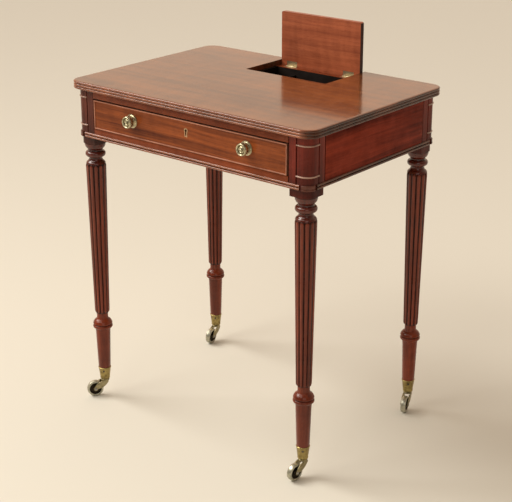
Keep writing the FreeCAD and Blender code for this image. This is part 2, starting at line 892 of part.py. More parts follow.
def open_flap(piece):
    """Turns a piece that is drawn closed to where it stands when the flap is up."""
    pivot = FreeCAD.Vector(0, d.hinge_back.value + CARCASS_MIDDLE.value, d.hinge_height.value)
    piece.Placement = FreeCAD.Placement(FreeCAD.Vector(), FreeCAD.Rotation(RIGHT, -90), pivot)
    return piece


def knuckle(name, x, radius):
    """A length of the hinge's barrel about the pin."""
    along = FreeCAD.Rotation(FreeCAD.Vector(0, 1, 0), 90)
    return rod(name, radius, x[1] - x[0], x[0], d.hinge_back, d.hinge_height, along)


def make_flap():
    left = d.notch_left + d.flap_gap
    front = d.notch_front + d.flap_gap
    body = new_body("flap_board")
    section = sketch_on(body, "YZ_Plane", "flap_section", left)
    corners = [(front, FLAP_UNDER), *reeded_edge(BOARD_Y, FLAP_UNDER, 2)]
    outline(section, corners + [(BOARD_Y, d.top_height), (front, d.top_height)])
    pad(body, section, d.notch_right - d.flap_gap - left)
    place(body)

    seats, fixed, moving, pins = [], [], [], []
    fixed_screws, flap_screws = [], []
    third = d.hinge_long / 6 + 0.3
    leaf_front = BACK_RAIL_OUT - d.leaf_wide
    plate_back = d.hinge_back - d.knuckle_radius - 0.3
    leaf_top = FLAP_UNDER + d.leaf_thick
    for i, middle in enumerate(hinge_middles()):
        ends = (middle - d.hinge_long / 2, middle + d.hinge_long / 2)
        inner = (middle - third + 0.3, middle + third - 0.3)
        outer = ((ends[0], middle - third), (middle + third, ends[1]))
        leaf_z = (d.rim_height - d.leaf_thick, d.rim_height)
        plate = board(f"fixed_plate_{i}", ends, (leaf_front, plate_back), leaf_z)
        eyes = []
        for j, x in enumerate(outer):
            eyes.append(board(f"fixed_web_{i}{j}", x, (plate_back, d.hinge_back), leaf_z))
            eyes.append(knuckle(f"fixed_eye_{i}{j}", x, d.knuckle_radius))
        bore = knuckle(f"fixed_bore_{i}", ends, d.hinge_pin_radius)
        fixed.append(carve(f"fixed_leaf_{i}", join(f"fixed_leaf_blank_{i}", [plate, *eyes]), [bore]))
        pins.append(knuckle(f"hinge_pin_{i}", ends, d.hinge_pin_radius))

        flap_plate = board(f"flap_plate_{i}", ends, (leaf_front, plate_back), (FLAP_UNDER, leaf_top))
        web = board(f"flap_web_{i}", inner, (plate_back, d.hinge_back), (d.hinge_height, leaf_top))
        eye = knuckle(f"flap_eye_{i}", inner, d.knuckle_radius)
        flap_bore = knuckle(f"flap_bore_{i}", ends, d.hinge_pin_radius + 0.06)
        blank = join(f"flap_leaf_blank_{i}", [flap_plate, web, eye])
        moving.append(carve(f"flap_leaf_{i}", blank, [flap_bore]))
        seats.append(board(f"flap_seat_{i}", ends, (leaf_front, plate_back), (FLAP_UNDER - 1, leaf_top)))
        clear = (plate_back, d.hinge_back + d.knuckle_radius + 0.8)
        wide = (ends[0] - 0.6, ends[1] + 0.6)
        seats.append(board(f"knuckle_room_{i}", wide, clear, (FLAP_UNDER - 1, leaf_top + 0.3)))
        screw_y = leaf_front + d.leaf_wide / 2
        for j, offset in enumerate((-9, 0, 9)):
            x = middle + offset
            fixed_screws.append(
                rod(f"ledge_screw_{i}{j}", d.screw_radius, 8, x, screw_y, d.rim_height - 8)
            )
            flap_screws.append(rod(f"flap_screw_{i}{j}", d.screw_radius, 7, x, screw_y, FLAP_UNDER))
    node("hinge_leaves_fixed", group("hinge_leaves_fixed", fixed))
    node("hinge_pins", group("hinge_pins", pins))
    node("hinge_screws_fixed", group("hinge_screws_fixed", fixed_screws))
    node("pen_flap", open_flap(carve("pen_flap", body, seats)))
    node("hinge_leaves_flap", open_flap(group("hinge_leaves_flap", moving)))
    node("hinge_screws_flap", open_flap(group("hinge_screws_flap", flap_screws)))


# The castors: a cup on the foot of the leg, a horn that swivels under it, a wheel on an axle.
def make_castor(corner, screws):
    side_x, side_y = CORNERS[corner]
    x, y = side_x * LEG_X, side_y * LEG_Y
    angle = TRAIL[corner]
    swing = FreeCAD.Rotation(UP, angle)
    gap = d.running_gap
    floor = d.cup_foot + 4.5
    bore = d.pintle_radius + 0.06

    cup = turned(
        "castor_cup_" + corner,
        [
            (bore, d.cup_foot),
            (d.cup_foot_radius, d.cup_foot),
            (d.cup_top_radius, d.cup_top - 1.6),
            (d.cup_top_radius + 0.5, d.cup_top - 0.8),
            (d.cup_top_radius, d.cup_top),
            (d.cup_top_radius - 1.7, d.cup_top),
            (d.cup_foot_radius - 1.2, d.socket_foot),
            (7, d.socket_foot),
            (7, floor),
            (bore, floor),
        ],
    )
    node("castor_cup_" + corner, place(cup, x, y))

    horn = turned(
        "castor_horn_" + corner,
        [
            (0, d.cup_foot - gap - 5),
            (d.cup_foot_radius - 0.4, d.cup_foot - gap - 5),
            (d.cup_foot_radius, d.cup_foot - gap - 4),
            (d.cup_foot_radius, d.cup_foot - gap),
            (d.pintle_radius, d.cup_foot - gap),
            (d.pintle_radius, floor + gap),
            (5, floor + gap),
            (5, floor + gap + 2),
            (0, floor + gap + 2),
        ],
    )
    plate_foot = d.cup_foot - gap - 5
    trail = d.castor_trail
    boss = 4.6
    cheeks = sketch_on(horn, "XZ_Plane", f"horn_cheeks_{corner}")
    outline(
        cheeks,
        [
            (-6, plate_foot + 1),
            (-6, plate_foot - 3, (30, 1)),
            (trail - boss, AXLE_HEIGHT - 1, (boss + 0.6, -1)),
            (trail + boss, AXLE_HEIGHT + 1, (30, -1)),
            (8, plate_foot + 1),
        ],
    )
    slot = d.wheel_wide + 4 * gap
    pad(horn, cheeks, slot + 2 * d.cheek_thick, symmetric=True)
    room = sketch_on(horn, "XZ_Plane", f"horn_slot_{corner}")
    reach = d.wheel_radius + 3
    outline(
        room,
        [
            (trail - reach - 12, 0),
            (trail + reach, 0),
            (trail + reach, plate_foot - 0.5),
            (trail - reach - 12, plate_foot - 0.5),
        ],
    )
    doc.recompute()
    pocket(horn, room, slot, symmetric=True)
    lateral = swing.multiply(FreeCAD.Rotation(RIGHT, -90))
    along = math.radians(angle)
    axle_x = x + trail * math.cos(along)
    axle_y = y + trail * math.sin(along)
    place(horn, x, y, 0, swing)
    half_axle = slot / 2 + d.cheek_thick
    reach_x = math.sin(along) * half_axle
    reach_y = -math.cos(along) * half_axle
    hole = rod(
        "axle_hole_" + corner,
        d.axle_radius,
        2 * half_axle,
        axle_x + reach_x,
        axle_y + reach_y,
        AXLE_HEIGHT,
        lateral,
    )
    node("castor_horn_" + corner, carve("castor_horn_" + corner, horn, [hole]))

    half = d.wheel_wide / 2
    tyre = d.wheel_radius
    crown = 0.5
    crown_half = half - 1
    crown_radius = (crown_half * crown_half + crown * crown) / (2 * crown)
    wheel = turned(
        "castor_wheel_" + corner,
        [
            (d.axle_radius + 0.06, -half),
            (6, -half),
            (6.6, 1 - half),
            (tyre - 4, 1 - half),
            (tyre - 3.4, -half),
            (tyre - 1.2, -half),
            (tyre - crown, 1 - half, (crown_radius, -1)),
            (tyre - crown, half - 1),
            (tyre - 1.2, half),
            (tyre - 3.4, half),
            (tyre - 4, half - 1),
            (6.6, half - 1),
            (6, half),
            (d.axle_radius + 0.06, half),
        ],
    )
    node("castor_wheel_" + corner, place(wheel, axle_x, axle_y, AXLE_HEIGHT, lateral))
    axle = turned(
        "castor_axle_" + corner,
        [
            (0, -half_axle - 1.2),
            (2, -half_axle - 1.2),
            (3.2, -half_axle),
            (d.axle_radius, -half_axle),
            (d.axle_radius, half_axle),
            (3.2, half_axle),
            (2, half_axle + 1.2),
            (0, half_axle + 1.2),
        ],
    )
    node("castor_axle_" + corner, place(axle, axle_x, axle_y, AXLE_HEIGHT, lateral))

    screw_z = d.cup_top - 8
    depth = 5
    for i, outward in enumerate((-55, 125)):
        way = math.radians(outward)
        start = d.cup_top_radius + 0.6
        turn = FreeCAD.Rotation(UP, FreeCAD.Vector(-math.cos(way), -math.sin(way), 0))
        screws.append(
            rod(
                f"cup_screw_{corner}_{i}",
                1.3,
                depth,
                x + start * math.cos(way),
                y + start * math.sin(way),
                screw_z,
                turn,
            )
        )


def make_castors():
    screws = []
    for corner in CORNERS:
        make_castor(corner, screws)
    node("castor_screws", group("castor_screws", screws))


def check_model():
    """Every object has to have recomputed, and every piece has to be a sound solid."""
    failed = [p for p in doc.Objects if "Invalid" in p.State or "Error" in p.State]
    if failed:
        raise RuntimeError("failed: " + ", ".join(f"{p.Name} {p.State}" for p in failed))
    for name, piece in nodes.items():
        shape = piece.Shape
        if shape.isNull() or not shape.isValid() or not shape.Solids:
            raise RuntimeError(f"{name} has no sound solid")
        box = shape.BoundBox
        print(
            f"{name:26s} solids {len(shape.Solids):2d}  volume {shape.Volume / 1000:9.2f} cm3"
            f"  x {box.XMin:8.2f} {box.XMax:8.2f}  y {box.YMin:8.2f} {box.YMax:8.2f}"
            f"  z {box.ZMin:7.2f} {box.ZMax:7.2f}"
        )


make_top()
make_frame()
make_beads()
make_drawer_guides()
make_drawer()
make_well()
make_flap()
make_castors()
doc.recompute()
check_model()
os.makedirs("parts", exist_ok=True)
for name, piece in nodes.items():
    piece.Shape.exportStep(f"parts/{name}.step")
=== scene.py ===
import math

import bmesh
import bpy
from mathutils import Matrix, Vector


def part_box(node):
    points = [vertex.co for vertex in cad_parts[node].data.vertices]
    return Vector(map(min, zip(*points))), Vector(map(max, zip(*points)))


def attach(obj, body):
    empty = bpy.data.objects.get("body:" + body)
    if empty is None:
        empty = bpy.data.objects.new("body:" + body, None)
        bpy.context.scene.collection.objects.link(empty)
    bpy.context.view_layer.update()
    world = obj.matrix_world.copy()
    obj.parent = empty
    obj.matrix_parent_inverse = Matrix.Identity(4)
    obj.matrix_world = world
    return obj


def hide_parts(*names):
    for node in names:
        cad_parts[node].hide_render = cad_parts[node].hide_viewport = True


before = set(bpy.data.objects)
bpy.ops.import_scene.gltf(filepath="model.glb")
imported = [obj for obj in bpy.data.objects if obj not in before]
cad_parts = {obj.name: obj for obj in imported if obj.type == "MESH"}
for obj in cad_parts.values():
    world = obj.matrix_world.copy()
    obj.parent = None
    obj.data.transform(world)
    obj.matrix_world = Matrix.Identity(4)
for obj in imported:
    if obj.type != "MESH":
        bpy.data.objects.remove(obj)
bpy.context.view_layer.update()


# Legs: each is one mahogany billet, square at the head and turned below, with twelve reeds worked
# down the shaft. The head's outer corner is rounded into a small panel between two thin beads.
MM = 0.001
LEG_SIGNS = {
    "front_left": (-1, -1),
    "front_right": (1, -1),
    "back_left": (-1, 1),
    "back_right": (1, 1),
}


def fill(sockets, values):
    """Sets inputs by name, or links them where a value is itself a socket."""
    for key, value in values.items():
        if isinstance(value, bpy.types.NodeSocket):
            value.id_data.links.new(value, sockets[key])
        else:
            sockets[key].default_value = value


def add_node(tree, kind, inputs=None, **settings):
    """Adds a node, sets its options and fills its inputs."""
    made = tree.nodes.new(kind)
    for key, value in settings.items():
        setattr(made, key, value)
    fill(made.inputs, inputs or {})
    return made


def tree_of(*values):
    """The node tree that some sockets belong to. Plain numbers may stand among them."""
    return next(v.id_data for v in values if isinstance(v, bpy.types.NodeSocket))


def calc(operation, first, second=0.0, clamp=False):
    terms = {0: first, 1: second}
    made = add_node(tree_of(first, second), "ShaderNodeMath", terms, operation=operation)
    made.use_clamp = clamp
    return made.outputs[0]


def plus(first, second, clamp=False):
    return calc("ADD", first, second, clamp)


def minus(first, second, clamp=False):
    return calc("SUBTRACT", first, second, clamp)


def times(first, second, clamp=False):
    return calc("MULTIPLY", first, second, clamp)


def spread(value, low, high, to_low=0.0, to_high=1.0):
    """Stretches a band of values over another one."""
    bands = {"Value": value, "From Min": low, "From Max": high, "To Min": to_low, "To Max": to_high}
    return add_node(tree_of(value), "ShaderNodeMapRange", bands).outputs["Result"]


def blend_colour(factor, first, second, mode="MIX"):
    tree, parts = tree_of(factor, first, second), {0: factor, 6: first, 7: second}
    made = add_node(tree, "ShaderNodeMix", parts, data_type="RGBA")
    made.blend_type = mode
    return made.outputs[2]


def vector_calc(operation, first, second):
    terms = {0: first, 1: second}
    return add_node(tree_of(first), "ShaderNodeVectorMath", terms, operation=operation).outputs[0]


def stretched_noise(vector, stretch, detail, roughness=0.55, out="Fac"):
    """Noise drawn out along the grain: the smaller a stretch, the longer the marks that way."""
    scaled = vector_calc("MULTIPLY", vector, stretch)
    marks = {"Vector": scaled, "Scale": 1.0, "Detail": detail, "Roughness": roughness}
    return add_node(tree_of(vector), "ShaderNodeTexNoise", marks).outputs[out]


def new_group(kind, name, inputs, outputs):
    """An empty node group with named sockets. An input is a type, or a type and its value."""
    tree = bpy.data.node_groups.new(name, kind)
    for label, socket in inputs.items():
        socket, *value = [socket] if isinstance(socket, str) else socket
        made = tree.interface.new_socket(label, in_out="INPUT", socket_type="NodeSocket" + socket)
        if value:
            made.default_value = value[0]
    for label, socket in outputs.items():
        tree.interface.new_socket(label, in_out="OUTPUT", socket_type="NodeSocket" + socket)
    return tree, tree.nodes.new("NodeGroupInput").outputs, tree.nodes.new("NodeGroupOutput").inputs


def use_group(tree, group, **inputs):
    return add_node(tree, "ShaderNodeGroup", inputs, node_tree=group).outputs


def make_timber_figure():
    """Plain-sawn timber whose grain runs along X: streaks, cross ripple, and short dark pores."""
    tree, have, give = new_group(
        "ShaderNodeTree",
        "timber_figure",
        {"Vector": "Vector", "Light": "Color", "Dark": "Color"}
        | dict.fromkeys(("Ripple", "Pores", "Figure"), "Float"),
        {"Color": "Color", "Sheen": "Float", "Height": "Float"},
    )
    sway = stretched_noise(have["Vector"], (1.7, 11, 11), 2, out="Color")
    centred = vector_calc("SUBTRACT", sway, (0.5, 0.5, 0.5))
    shift = vector_calc("MULTIPLY", centred, (0.03, 0.03, 0.03))
    bent = vector_calc("ADD", have["Vector"], shift)
    fine = stretched_noise(bent, (5, 190, 190), 4, 0.6)
    streak = stretched_noise(bent, (2.2, 58, 58), 5, 0.6)
    broad = stretched_noise(bent, (2.6, 15, 15), 2)
    ripple = stretched_noise(bent, (52, 10, 10), 2)
    pore = spread(stretched_noise(bent, (75, 1500, 1500), 1), 0.6, 0.7)
    tone = times(streak, 0.42)
    tone = plus(tone, times(broad, 0.3))
    tone = plus(tone, times(fine, 0.28))
    cross = times(minus(ripple, 0.5), have["Ripple"])
    tone = minus(plus(tone, cross), 0.5)
    tone = spread(times(tone, have["Figure"]), -0.14, 0.14)
    colour = blend_colour(tone, have["Dark"], have["Light"])
    dark_pore = blend_colour(0.65, colour, have["Dark"], "MULTIPLY")
    pored = times(pore, have["Pores"])
    sheen, height = plus(times(broad, 0.6), pored), minus(times(fine, 0.4), pored)
    colour = blend_colour(pored, colour, dark_pore)
    fill(give, {"Color": colour, "Sheen": sheen, "Height": height})
    return tree


def make_surface_wear_and_light():
    """What handling leaves, and painted light: grime and painted shade in hollows, crests rubbed
    pale as wear and painted highlight, smears, hairline scratches.
    """
    tree, have, give = new_group(
        "ShaderNodeTree",
        "surface_wear_and_light",
        {"Vector": "Vector", "Relief": "Float", "Age": "Float", "Wear": "Float"}
        | dict.fromkeys(("Color", "Grime", "Rubbed"), "Color"),
        {"Color": "Color", "Smear": "Float", "Scratch": "Float"},
    )
    patch = stretched_noise(have["Vector"], (23, 23, 23), 5, 0.6)
    smear = stretched_noise(have["Vector"], (9, 16, 12), 4, 0.65)
    askew = {"Vector": have["Vector"], "Rotation": (0.35, 0.5, 0.62)}
    askew = add_node(tree, "ShaderNodeMapping", askew).outputs[0]
    hair = stretched_noise(askew, (14, 900, 900), 0)
    broken = stretched_noise(have["Vector"], (31, 31, 31), 2)
    scratch = times(spread(hair, 0.72, 0.78), spread(broken, 0.5, 0.62))
    # Hollows darken, as grime and as painted shade; crests lighten, as wear and as a painted
    # highlight.
    hollow = times(have["Relief"], -1.0, clamp=True)
    dirt_and_shade = times(hollow, spread(patch, 0.3, 0.6, 0.45, 1.0), clamp=True)
    dirt_and_shade = times(dirt_and_shade, have["Age"], clamp=True)
    crest = times(have["Relief"], 1.0, clamp=True)
    rub_and_highlight = times(crest, spread(patch, 0.42, 0.7, 0.1, 0.75), clamp=True)
    rub_and_highlight = times(rub_and_highlight, have["Wear"])
    colour = blend_colour(dirt_and_shade, have["Color"], have["Grime"])
    colour = blend_colour(rub_and_highlight, colour, have["Rubbed"])
    blotch = spread(smear, 0.3, 0.7, 0.86, 1.12)
    shaded = add_node(tree, "ShaderNodeVectorMath", {0: colour, "Scale": blotch}, operation="SCALE")
    fill(give, {"Color": shaded.outputs[0], "Smear": smear, "Scratch": scratch})
    return tree


timber_figure = make_timber_figure()
surface_wear_and_light = make_surface_wear_and_light()
ALONG_X = (0, 0, 0)
ALONG_Y = (0, 0, -math.pi / 2)
ALONG_Z = (0, math.pi / 2, 0)


def new_material(name):
    """A material with nodes, and its tree and shader."""
    material = bpy.data.materials.new(name)
    material.use_nodes = True
    return material, material.node_tree, material.node_tree.nodes["Principled BSDF"]


def relief_mark(tree):
    """How far a point of the piece stands out as a crest or lies back in a hollow."""
    return add_node(tree, "ShaderNodeAttribute", attribute_name="relief").outputs["Fac"]


def rough_surface(tree, height, strength, distance):
    bump = {"Height": height, "Strength": strength, "Distance": distance}
    return add_node(tree, "ShaderNodeBump", bump).outputs[0]


def timber(
    name,
    grain,
    light,
    dark,
    coat=(0.2, 0.06),
    ripple=0.1,
    pores=0.55,
    gloss=(0.2, 0.36),
    shine=0.05,
    offset=(0, 0, 0),
    wear_and_highlight=0.35,
    figured=1.0,
):
    """Wood with its grain along one axis: polished mahogany, unless it is told otherwise. Coat is
    the weight and roughness of the polish. Gloss is the range of roughness under it, dull last, and
    shine is how far the bare wood reflects."""
    material, tree, shader = new_material(name)
    place = add_node(tree, "ShaderNodeTexCoord").outputs["Object"]
    laid = {"Vector": place, "Rotation": grain, "Location": offset}
    figure = use_group(
        tree,
        timber_figure,
        Vector=add_node(tree, "ShaderNodeMapping", laid).outputs[0],
        Light=(*light, 1),
        Dark=(*dark, 1),
        Ripple=ripple,
        Pores=pores,
        Figure=figured,
    )
    worn = use_group(
        tree,
        surface_wear_and_light,
        Color=figure["Color"],
        Vector=place,
        Relief=relief_mark(tree),
        # A near-black for hollows, grime and painted shade, and a paler tone for crests, wear and
        # painted highlight.
        Grime=(*[c * 0.16 for c in dark], 1),
        Rubbed=(*[min(1, c * 1.5 + 0.03) for c in light], 1),
        Age=0.88,
        Wear=wear_and_highlight,
    )
    dull = spread(worn["Smear"], 0.25, 0.75, gloss[0], gloss[1])
    dull = plus(dull, times(worn["Scratch"], 0.2))
    dull = plus(dull, times(figure["Sheen"], 0.06), clamp=True)
    height = minus(figure["Height"], worn["Scratch"])
    bump = rough_surface(tree, height, 0.12, 0.3 * MM)
    fill(shader.inputs, {"Base Color": worn["Color"], "Roughness": dull, "Normal": bump})
    fill(shader.inputs, {"Coat Weight": coat[0], "Coat Roughness": coat[1]})
    fill(shader.inputs, {"Specular IOR Level": shine, "IOR": 1.5})
    return material


def arc_points(start, end, bulge, steps=8, square_on=False):
    """Points of a moulding's curve from start to end, with the end. A bulge leans off the axis. A
    curve that is square on leaves and meets the flat at a right angle."""
    (r0, z0), (r1, z1) = start, end
    out = Vector((z0 - z1, r1 - r0)) / math.hypot(r1 - r0, z1 - z0)
    if out.x < 0:
        out.negate()
    points = []
    for i in range(1, steps + 1):
        turn = math.pi * i / steps
        t = (1 - math.cos(turn)) / 2 if square_on else i / steps
        lean = bulge * math.sin(turn)
        points.append((r0 + (r1 - r0) * t + out.x * lean, z0 + (z1 - z0) * t + out.y * lean))
    return points


def round_points(start, end, bulge):
    """A full half-round from start to end."""
    return arc_points(start, end, bulge, 10, True)


def moulding(*steps):
    """A profile from points in millimetres. A curve among them is given as its function, its end,
    its bulge and, where it matters, its steps."""
    points = []
    for step in steps:
        if callable(step[0]):
            points += step[0](points[-1], *step[1:])
        else:
            points.append(step)
    return [(a * MM, b * MM) for a, b in points]


def lathe(bm, profile, place, steps=64):
    """Turns a (radius, height) profile about an axis. A radius of nought closes the end."""
    rings = []
    for radius, height in profile:
        if radius < 1e-7:
            rings.append([bm.verts.new(place @ Vector((0, 0, height)))])
            continue
        angles = [2 * math.pi * k / steps for k in range(steps)]
        ring = [Vector((radius * math.cos(a), radius * math.sin(a), height)) for a in angles]
        rings.append([bm.verts.new(place @ spot) for spot in ring])
    for low, high in zip(rings, rings[1:]):
        for k in range(steps):
            corners = [low[k % len(low)], low[(k + 1) % len(low)]]
            corners += [high[(k + 1) % len(high)], high[k % len(high)]]
            corners = list(dict.fromkeys(corners))
            if len(corners) > 2:
                bm.faces.new(corners)


def join_rings(bm, here, there, closed=True):
    """Sets faces between two rings of points. Open ones stop at the last point."""
    for k in range(len(here) if closed else len(here) - 1):
        n = (k + 1) % len(here)
        bm.faces.new((here[k], here[n], there[n], there[k]))


def prism(bm, outline, low, high, place=Matrix()):
    """A straight piece with a flat outline, from one height to another."""
    foot = [bm.verts.new(place @ Vector((x, y, low))) for x, y in outline]
    head = [bm.verts.new(place @ Vector((x, y, high))) for x, y in outline]
    bm.faces.new(foot[::-1])
    bm.faces.new(head)
    join_rings(bm, foot, head)


def mitred_rings(bm, path, section, place=Matrix(), closed=False):
    """Sets a moulding's section, (out, up) points, at each point of a flat path, mitred there. Out
    is to the right of the way along the path."""
    spots = [Vector(p) for p in path]
    count = len(spots)
    rings = []
    for i, spot in enumerate(spots):
        before = spots[i - 1] if i or closed else None
        after = spots[(i + 1) % count] if i + 1 < count or closed else None
        ways = [(b - a).normalized() for a, b in ((before, spot), (spot, after)) if a and b]
        outs = [Vector((w.y, -w.x)) for w in ways]
        out = sum(outs, Vector((0, 0))).normalized()
        out /= max(0.2, out.dot(outs[0]))
        ring = [(*(spot + out * reach), up) for reach, up in section]
        rings.append([bm.verts.new(place @ Vector(point)) for point in ring])
    return rings


def run_along(bm, path, section, place=Matrix(), closed=False):
    """Runs a moulding of one section along a flat path."""
    rings = mitred_rings(bm, path, section, place, closed)
    pairs = list(zip(rings, rings[1:])) + ([(rings[-1], rings[0])] if closed else [])
    for here, there in pairs:
        join_rings(bm, here, there)
    if not closed:
        bm.faces.new(rings[0])
        bm.faces.new(rings[-1][::-1])


def note_relief(mesh):
    """Marks each point as a crest, up to 1, or a hollow, down to -1, for rubbing, grime, painted
    highlight and painted shade.
    """
    if "relief" in mesh.attributes:
        return
    bm = bmesh.new()
    bm.from_mesh(mesh)
    bmesh.ops.remove_doubles(bm, verts=bm.verts, dist=1e-6)
    bm.normal_update()
    values = {}
    for vert in bm.verts:
        least = min((edge.calc_length() for edge in vert.link_edges), default=0)
        near = [e.other_vert(vert) for e in vert.link_edges if e.calc_length() < 4 * least]
        reach = sum((v.co - vert.co).length for v in near) / max(1, len(near))
        middle = sum((v.co for v in near), Vector()) / max(1, len(near))
        lean = (vert.co - middle).dot(vert.normal) / max(reach, 1e-6)
        key = tuple(round(c, 6) for c in vert.co)
        values[key] = max(-1.0, min(1.0, lean * 5))
    bm.free()
    layer = mesh.attributes.new("relief", "FLOAT", "POINT")
    for i, vert in enumerate(mesh.vertices):
        layer.data[i].value = values.get(tuple(round(c, 6) for c in vert.co), 0.0)


def placed(name, data):
    """A new object in the scene."""
    made = bpy.data.objects.new(name, data)
    bpy.context.scene.collection.objects.link(made)
    return made


def show(name, mesh, material, body="carcass"):
    """Puts a finished mesh in the scene as a piece that rides on a body. It stands for the CAD
    piece of the same name, where there is one."""
    mesh.name = name
    mesh.materials.clear()
    mesh.materials.append(material)
    note_relief(mesh)
    piece = placed(name, mesh)
    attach(piece, body)
    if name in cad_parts:
        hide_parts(name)


def finish_faces(mesh, finishes, choose):
    """Adds finishes to a mesh, and gives each face the one whose number a rule picks."""
    for finish in finishes:
        mesh.materials.append(finish)
    for face in mesh.polygons:
        face.material_index = choose(face)


def darken_grime_and_shade(mesh, value, where):
    """Marks the points that a test picks as hollows, so they darken: old polish and grime at the
    ends of boards, painted shade at shaded places.
    """
    marks = mesh.attributes["relief"].data
    for i, vert in enumerate(mesh.vertices):
        if where(vert.co):
            marks[i].value = min(marks[i].value, value)


def smooth(mesh, crease):
    """Shades a mesh smooth, and sharp only at real arrises."""
    mesh.shade_smooth()
    mesh.set_sharp_from_angle(angle=math.radians(crease))
    return mesh


def finish_mesh(bm, crease=35):
    """A clean mesh from a worked one, with doubles merged and its faces outwards."""
    bmesh.ops.remove_doubles(bm, verts=bm.verts, dist=1e-6)
    bmesh.ops.recalc_face_normals(bm, faces=bm.faces)
    mesh = bpy.data.meshes.new("worked")
    bm.to_mesh(mesh)
    bm.free()
    return smooth(mesh, crease)


def socket_named(sockets, label):
    return next(s for s in sockets if s.name == label and s.enabled)


def settled(carrier):
    """What an object's modifiers make of it, as a plain mesh. The object itself goes."""
    bpy.context.view_layer.update()
    ready = carrier.evaluated_get(bpy.context.evaluated_depsgraph_get())
    mesh = bpy.data.meshes.new_from_object(ready)
    bpy.data.objects.remove(carrier)
    return mesh


def grown(tree, name, values, source=None):
    """Runs a node tree and keeps its result as a plain mesh."""
    carrier = placed(name, source or bpy.data.meshes.new(name))
    modifier = carrier.modifiers.new(name, "NODES")
    modifier.node_group = tree
    for item in tree.interface.items_tree:
        if item.in_out == "INPUT" and item.name in values:
            modifier[item.identifier] = values[item.name]
    return settled(carrier)


def give_real(tree, made, finish, out):
    """Ends a node tree: real geometry, with its material set."""
    real = add_node(tree, "GeometryNodeRealizeInstances", {"Geometry": made}).outputs[0]
    done = add_node(tree, "GeometryNodeSetMaterial", {"Geometry": real, "Material": finish})
    tree.links.new(done.outputs[0], out)


def make_reeded_shaft():
    """A tapering shaft with round-ended reeds side by side, as a rolled-up grid."""
    tree, have, give = new_group(
        "GeometryNodeTree",
        "reeded_shaft",
        {
            "Centre": "Vector",
            "Top Height": ("Float", 0.5485),
            "Foot Height": ("Float", 0.202),
            "Top Radius": ("Float", 0.0217),
            "Foot Radius": ("Float", 0.016),
            "Reeds": ("Float", 12.0),
            "Reed Depth": ("Float", 0.0034),
            "Tip": ("Float", 0.007),
            "Finish": "Material",
        },
        {"Geometry": "Geometry"},
    )
    around, along = 12 * 12, 96
    size = {"Size X": 1.0, "Size Y": 1.0, "Vertices X": around + 1, "Vertices Y": along + 1}
    grid = add_node(tree, "GeometryNodeMeshGrid", size).outputs["Mesh"]
    spot = add_node(tree, "GeometryNodeInputPosition").outputs[0]
    apart = add_node(tree, "ShaderNodeSeparateXYZ", {0: spot}).outputs
    lap = times(plus(apart["X"], 0.5), have["Reeds"])
    whole = calc("FLOOR", plus(lap, 1e-4))
    part = minus(lap, whole)

    def crowd(value):
        """Crowds points to both ends, where the curve is steepest."""
        wave = calc("COSINE", times(value, math.pi))
        return times(minus(1.0, wave), 0.5)

    across = crowd(part)
    share = calc("DIVIDE", plus(whole, across), have["Reeds"])
    angle = times(share, 2 * math.pi)
    rise = crowd(plus(apart["Y"], 0.5))

    def between(low, high):
        return plus(low, times(rise, minus(high, low)))

    height = between(have["Foot Height"], have["Top Height"])
    radius = between(have["Foot Radius"], have["Top Radius"])
    above_foot = minus(height, have["Foot Height"])
    under_top = minus(have["Top Height"], height)
    end = calc("MINIMUM", above_foot, under_top)
    tip = minus(1.0, calc("DIVIDE", end, have["Tip"]), clamp=True)
    side = minus(times(across, 2.0), 1.0)
    squares = plus(times(side, side), times(tip, tip))
    swell = calc("SQRT", minus(1.0, squares, clamp=True))
    sunk = times(minus(1.0, swell), have["Reed Depth"])
    reach = minus(radius, sunk)
    out_x = times(reach, calc("COSINE", angle))
    out_y = times(reach, calc("SINE", angle))
    rolled = add_node(tree, "ShaderNodeCombineXYZ", {"X": out_x, "Y": out_y, "Z": height})
    moved = vector_calc("ADD", rolled.outputs[0], have["Centre"])
    # Crests are marked to rub lighter and valleys to darken: wear and grime, and also painted
    # highlight and painted shade.
    relief = times(minus(swell, 0.83), 6.0)
    noted = {"Geometry": grid, "Name": "relief"}
    stored = add_node(tree, "GeometryNodeStoreNamedAttribute", noted, data_type="FLOAT")
    tree.links.new(relief, socket_named(stored.inputs, "Value"))
    shaped = add_node(
        tree, "GeometryNodeSetPosition", {"Geometry": stored.outputs[0], "Position": moved}
    ).outputs[0]
    closed = add_node(
        tree, "GeometryNodeMergeByDistance", {"Geometry": shaped, "Distance": 1e-6}
    ).outputs[0]
    give_real(tree, closed, have["Finish"], give["Geometry"])
    return tree


mahogany_legs = timber(
    "mahogany_legs", ALONG_Z, (0.25, 0.044, 0.016), (0.068, 0.011, 0.005), coat=(0.5, 0.07)
)
# Lit and shaded copies of the head finish, painted light: the right heads, on the shaded side, get
# a redder one, the left heads, in the window light, a darker browner one.
head_light, head_dark = (0.24, 0.031, 0.017), (0.07, 0.01, 0.006)
head_shaded_side = timber(
    "head_shaded_side", ALONG_Z, head_light, head_dark, coat=(0.22, 0.08), ripple=0.12
)
# The upper turning has a darker copy of the leg finish: partly its own tone, partly painted shade
# below the frieze.
neck_tone_and_shade = timber(
    "neck_tone_and_shade", ALONG_Z, (0.14, 0.022, 0.01), (0.045, 0.007, 0.004), coat=(0.9, 0.06)
)
head_light, head_dark = (0.15, 0.034, 0.019), (0.05, 0.01, 0.006)
head_lit_side_darkened = timber(
    "head_lit_side_darkened", ALONG_Z, head_light, head_dark, coat=(0.3, 0.08), ripple=0.12
)
# The thin beads have a pale colour, a painted highlight for the light along them.
bead_painted_highlight = timber(
    "bead_painted_highlight", ALONG_X, (0.42, 0.25, 0.185), (0.24, 0.125, 0.088), coat=(0.9, 0.16), wear_and_highlight=0.6
)
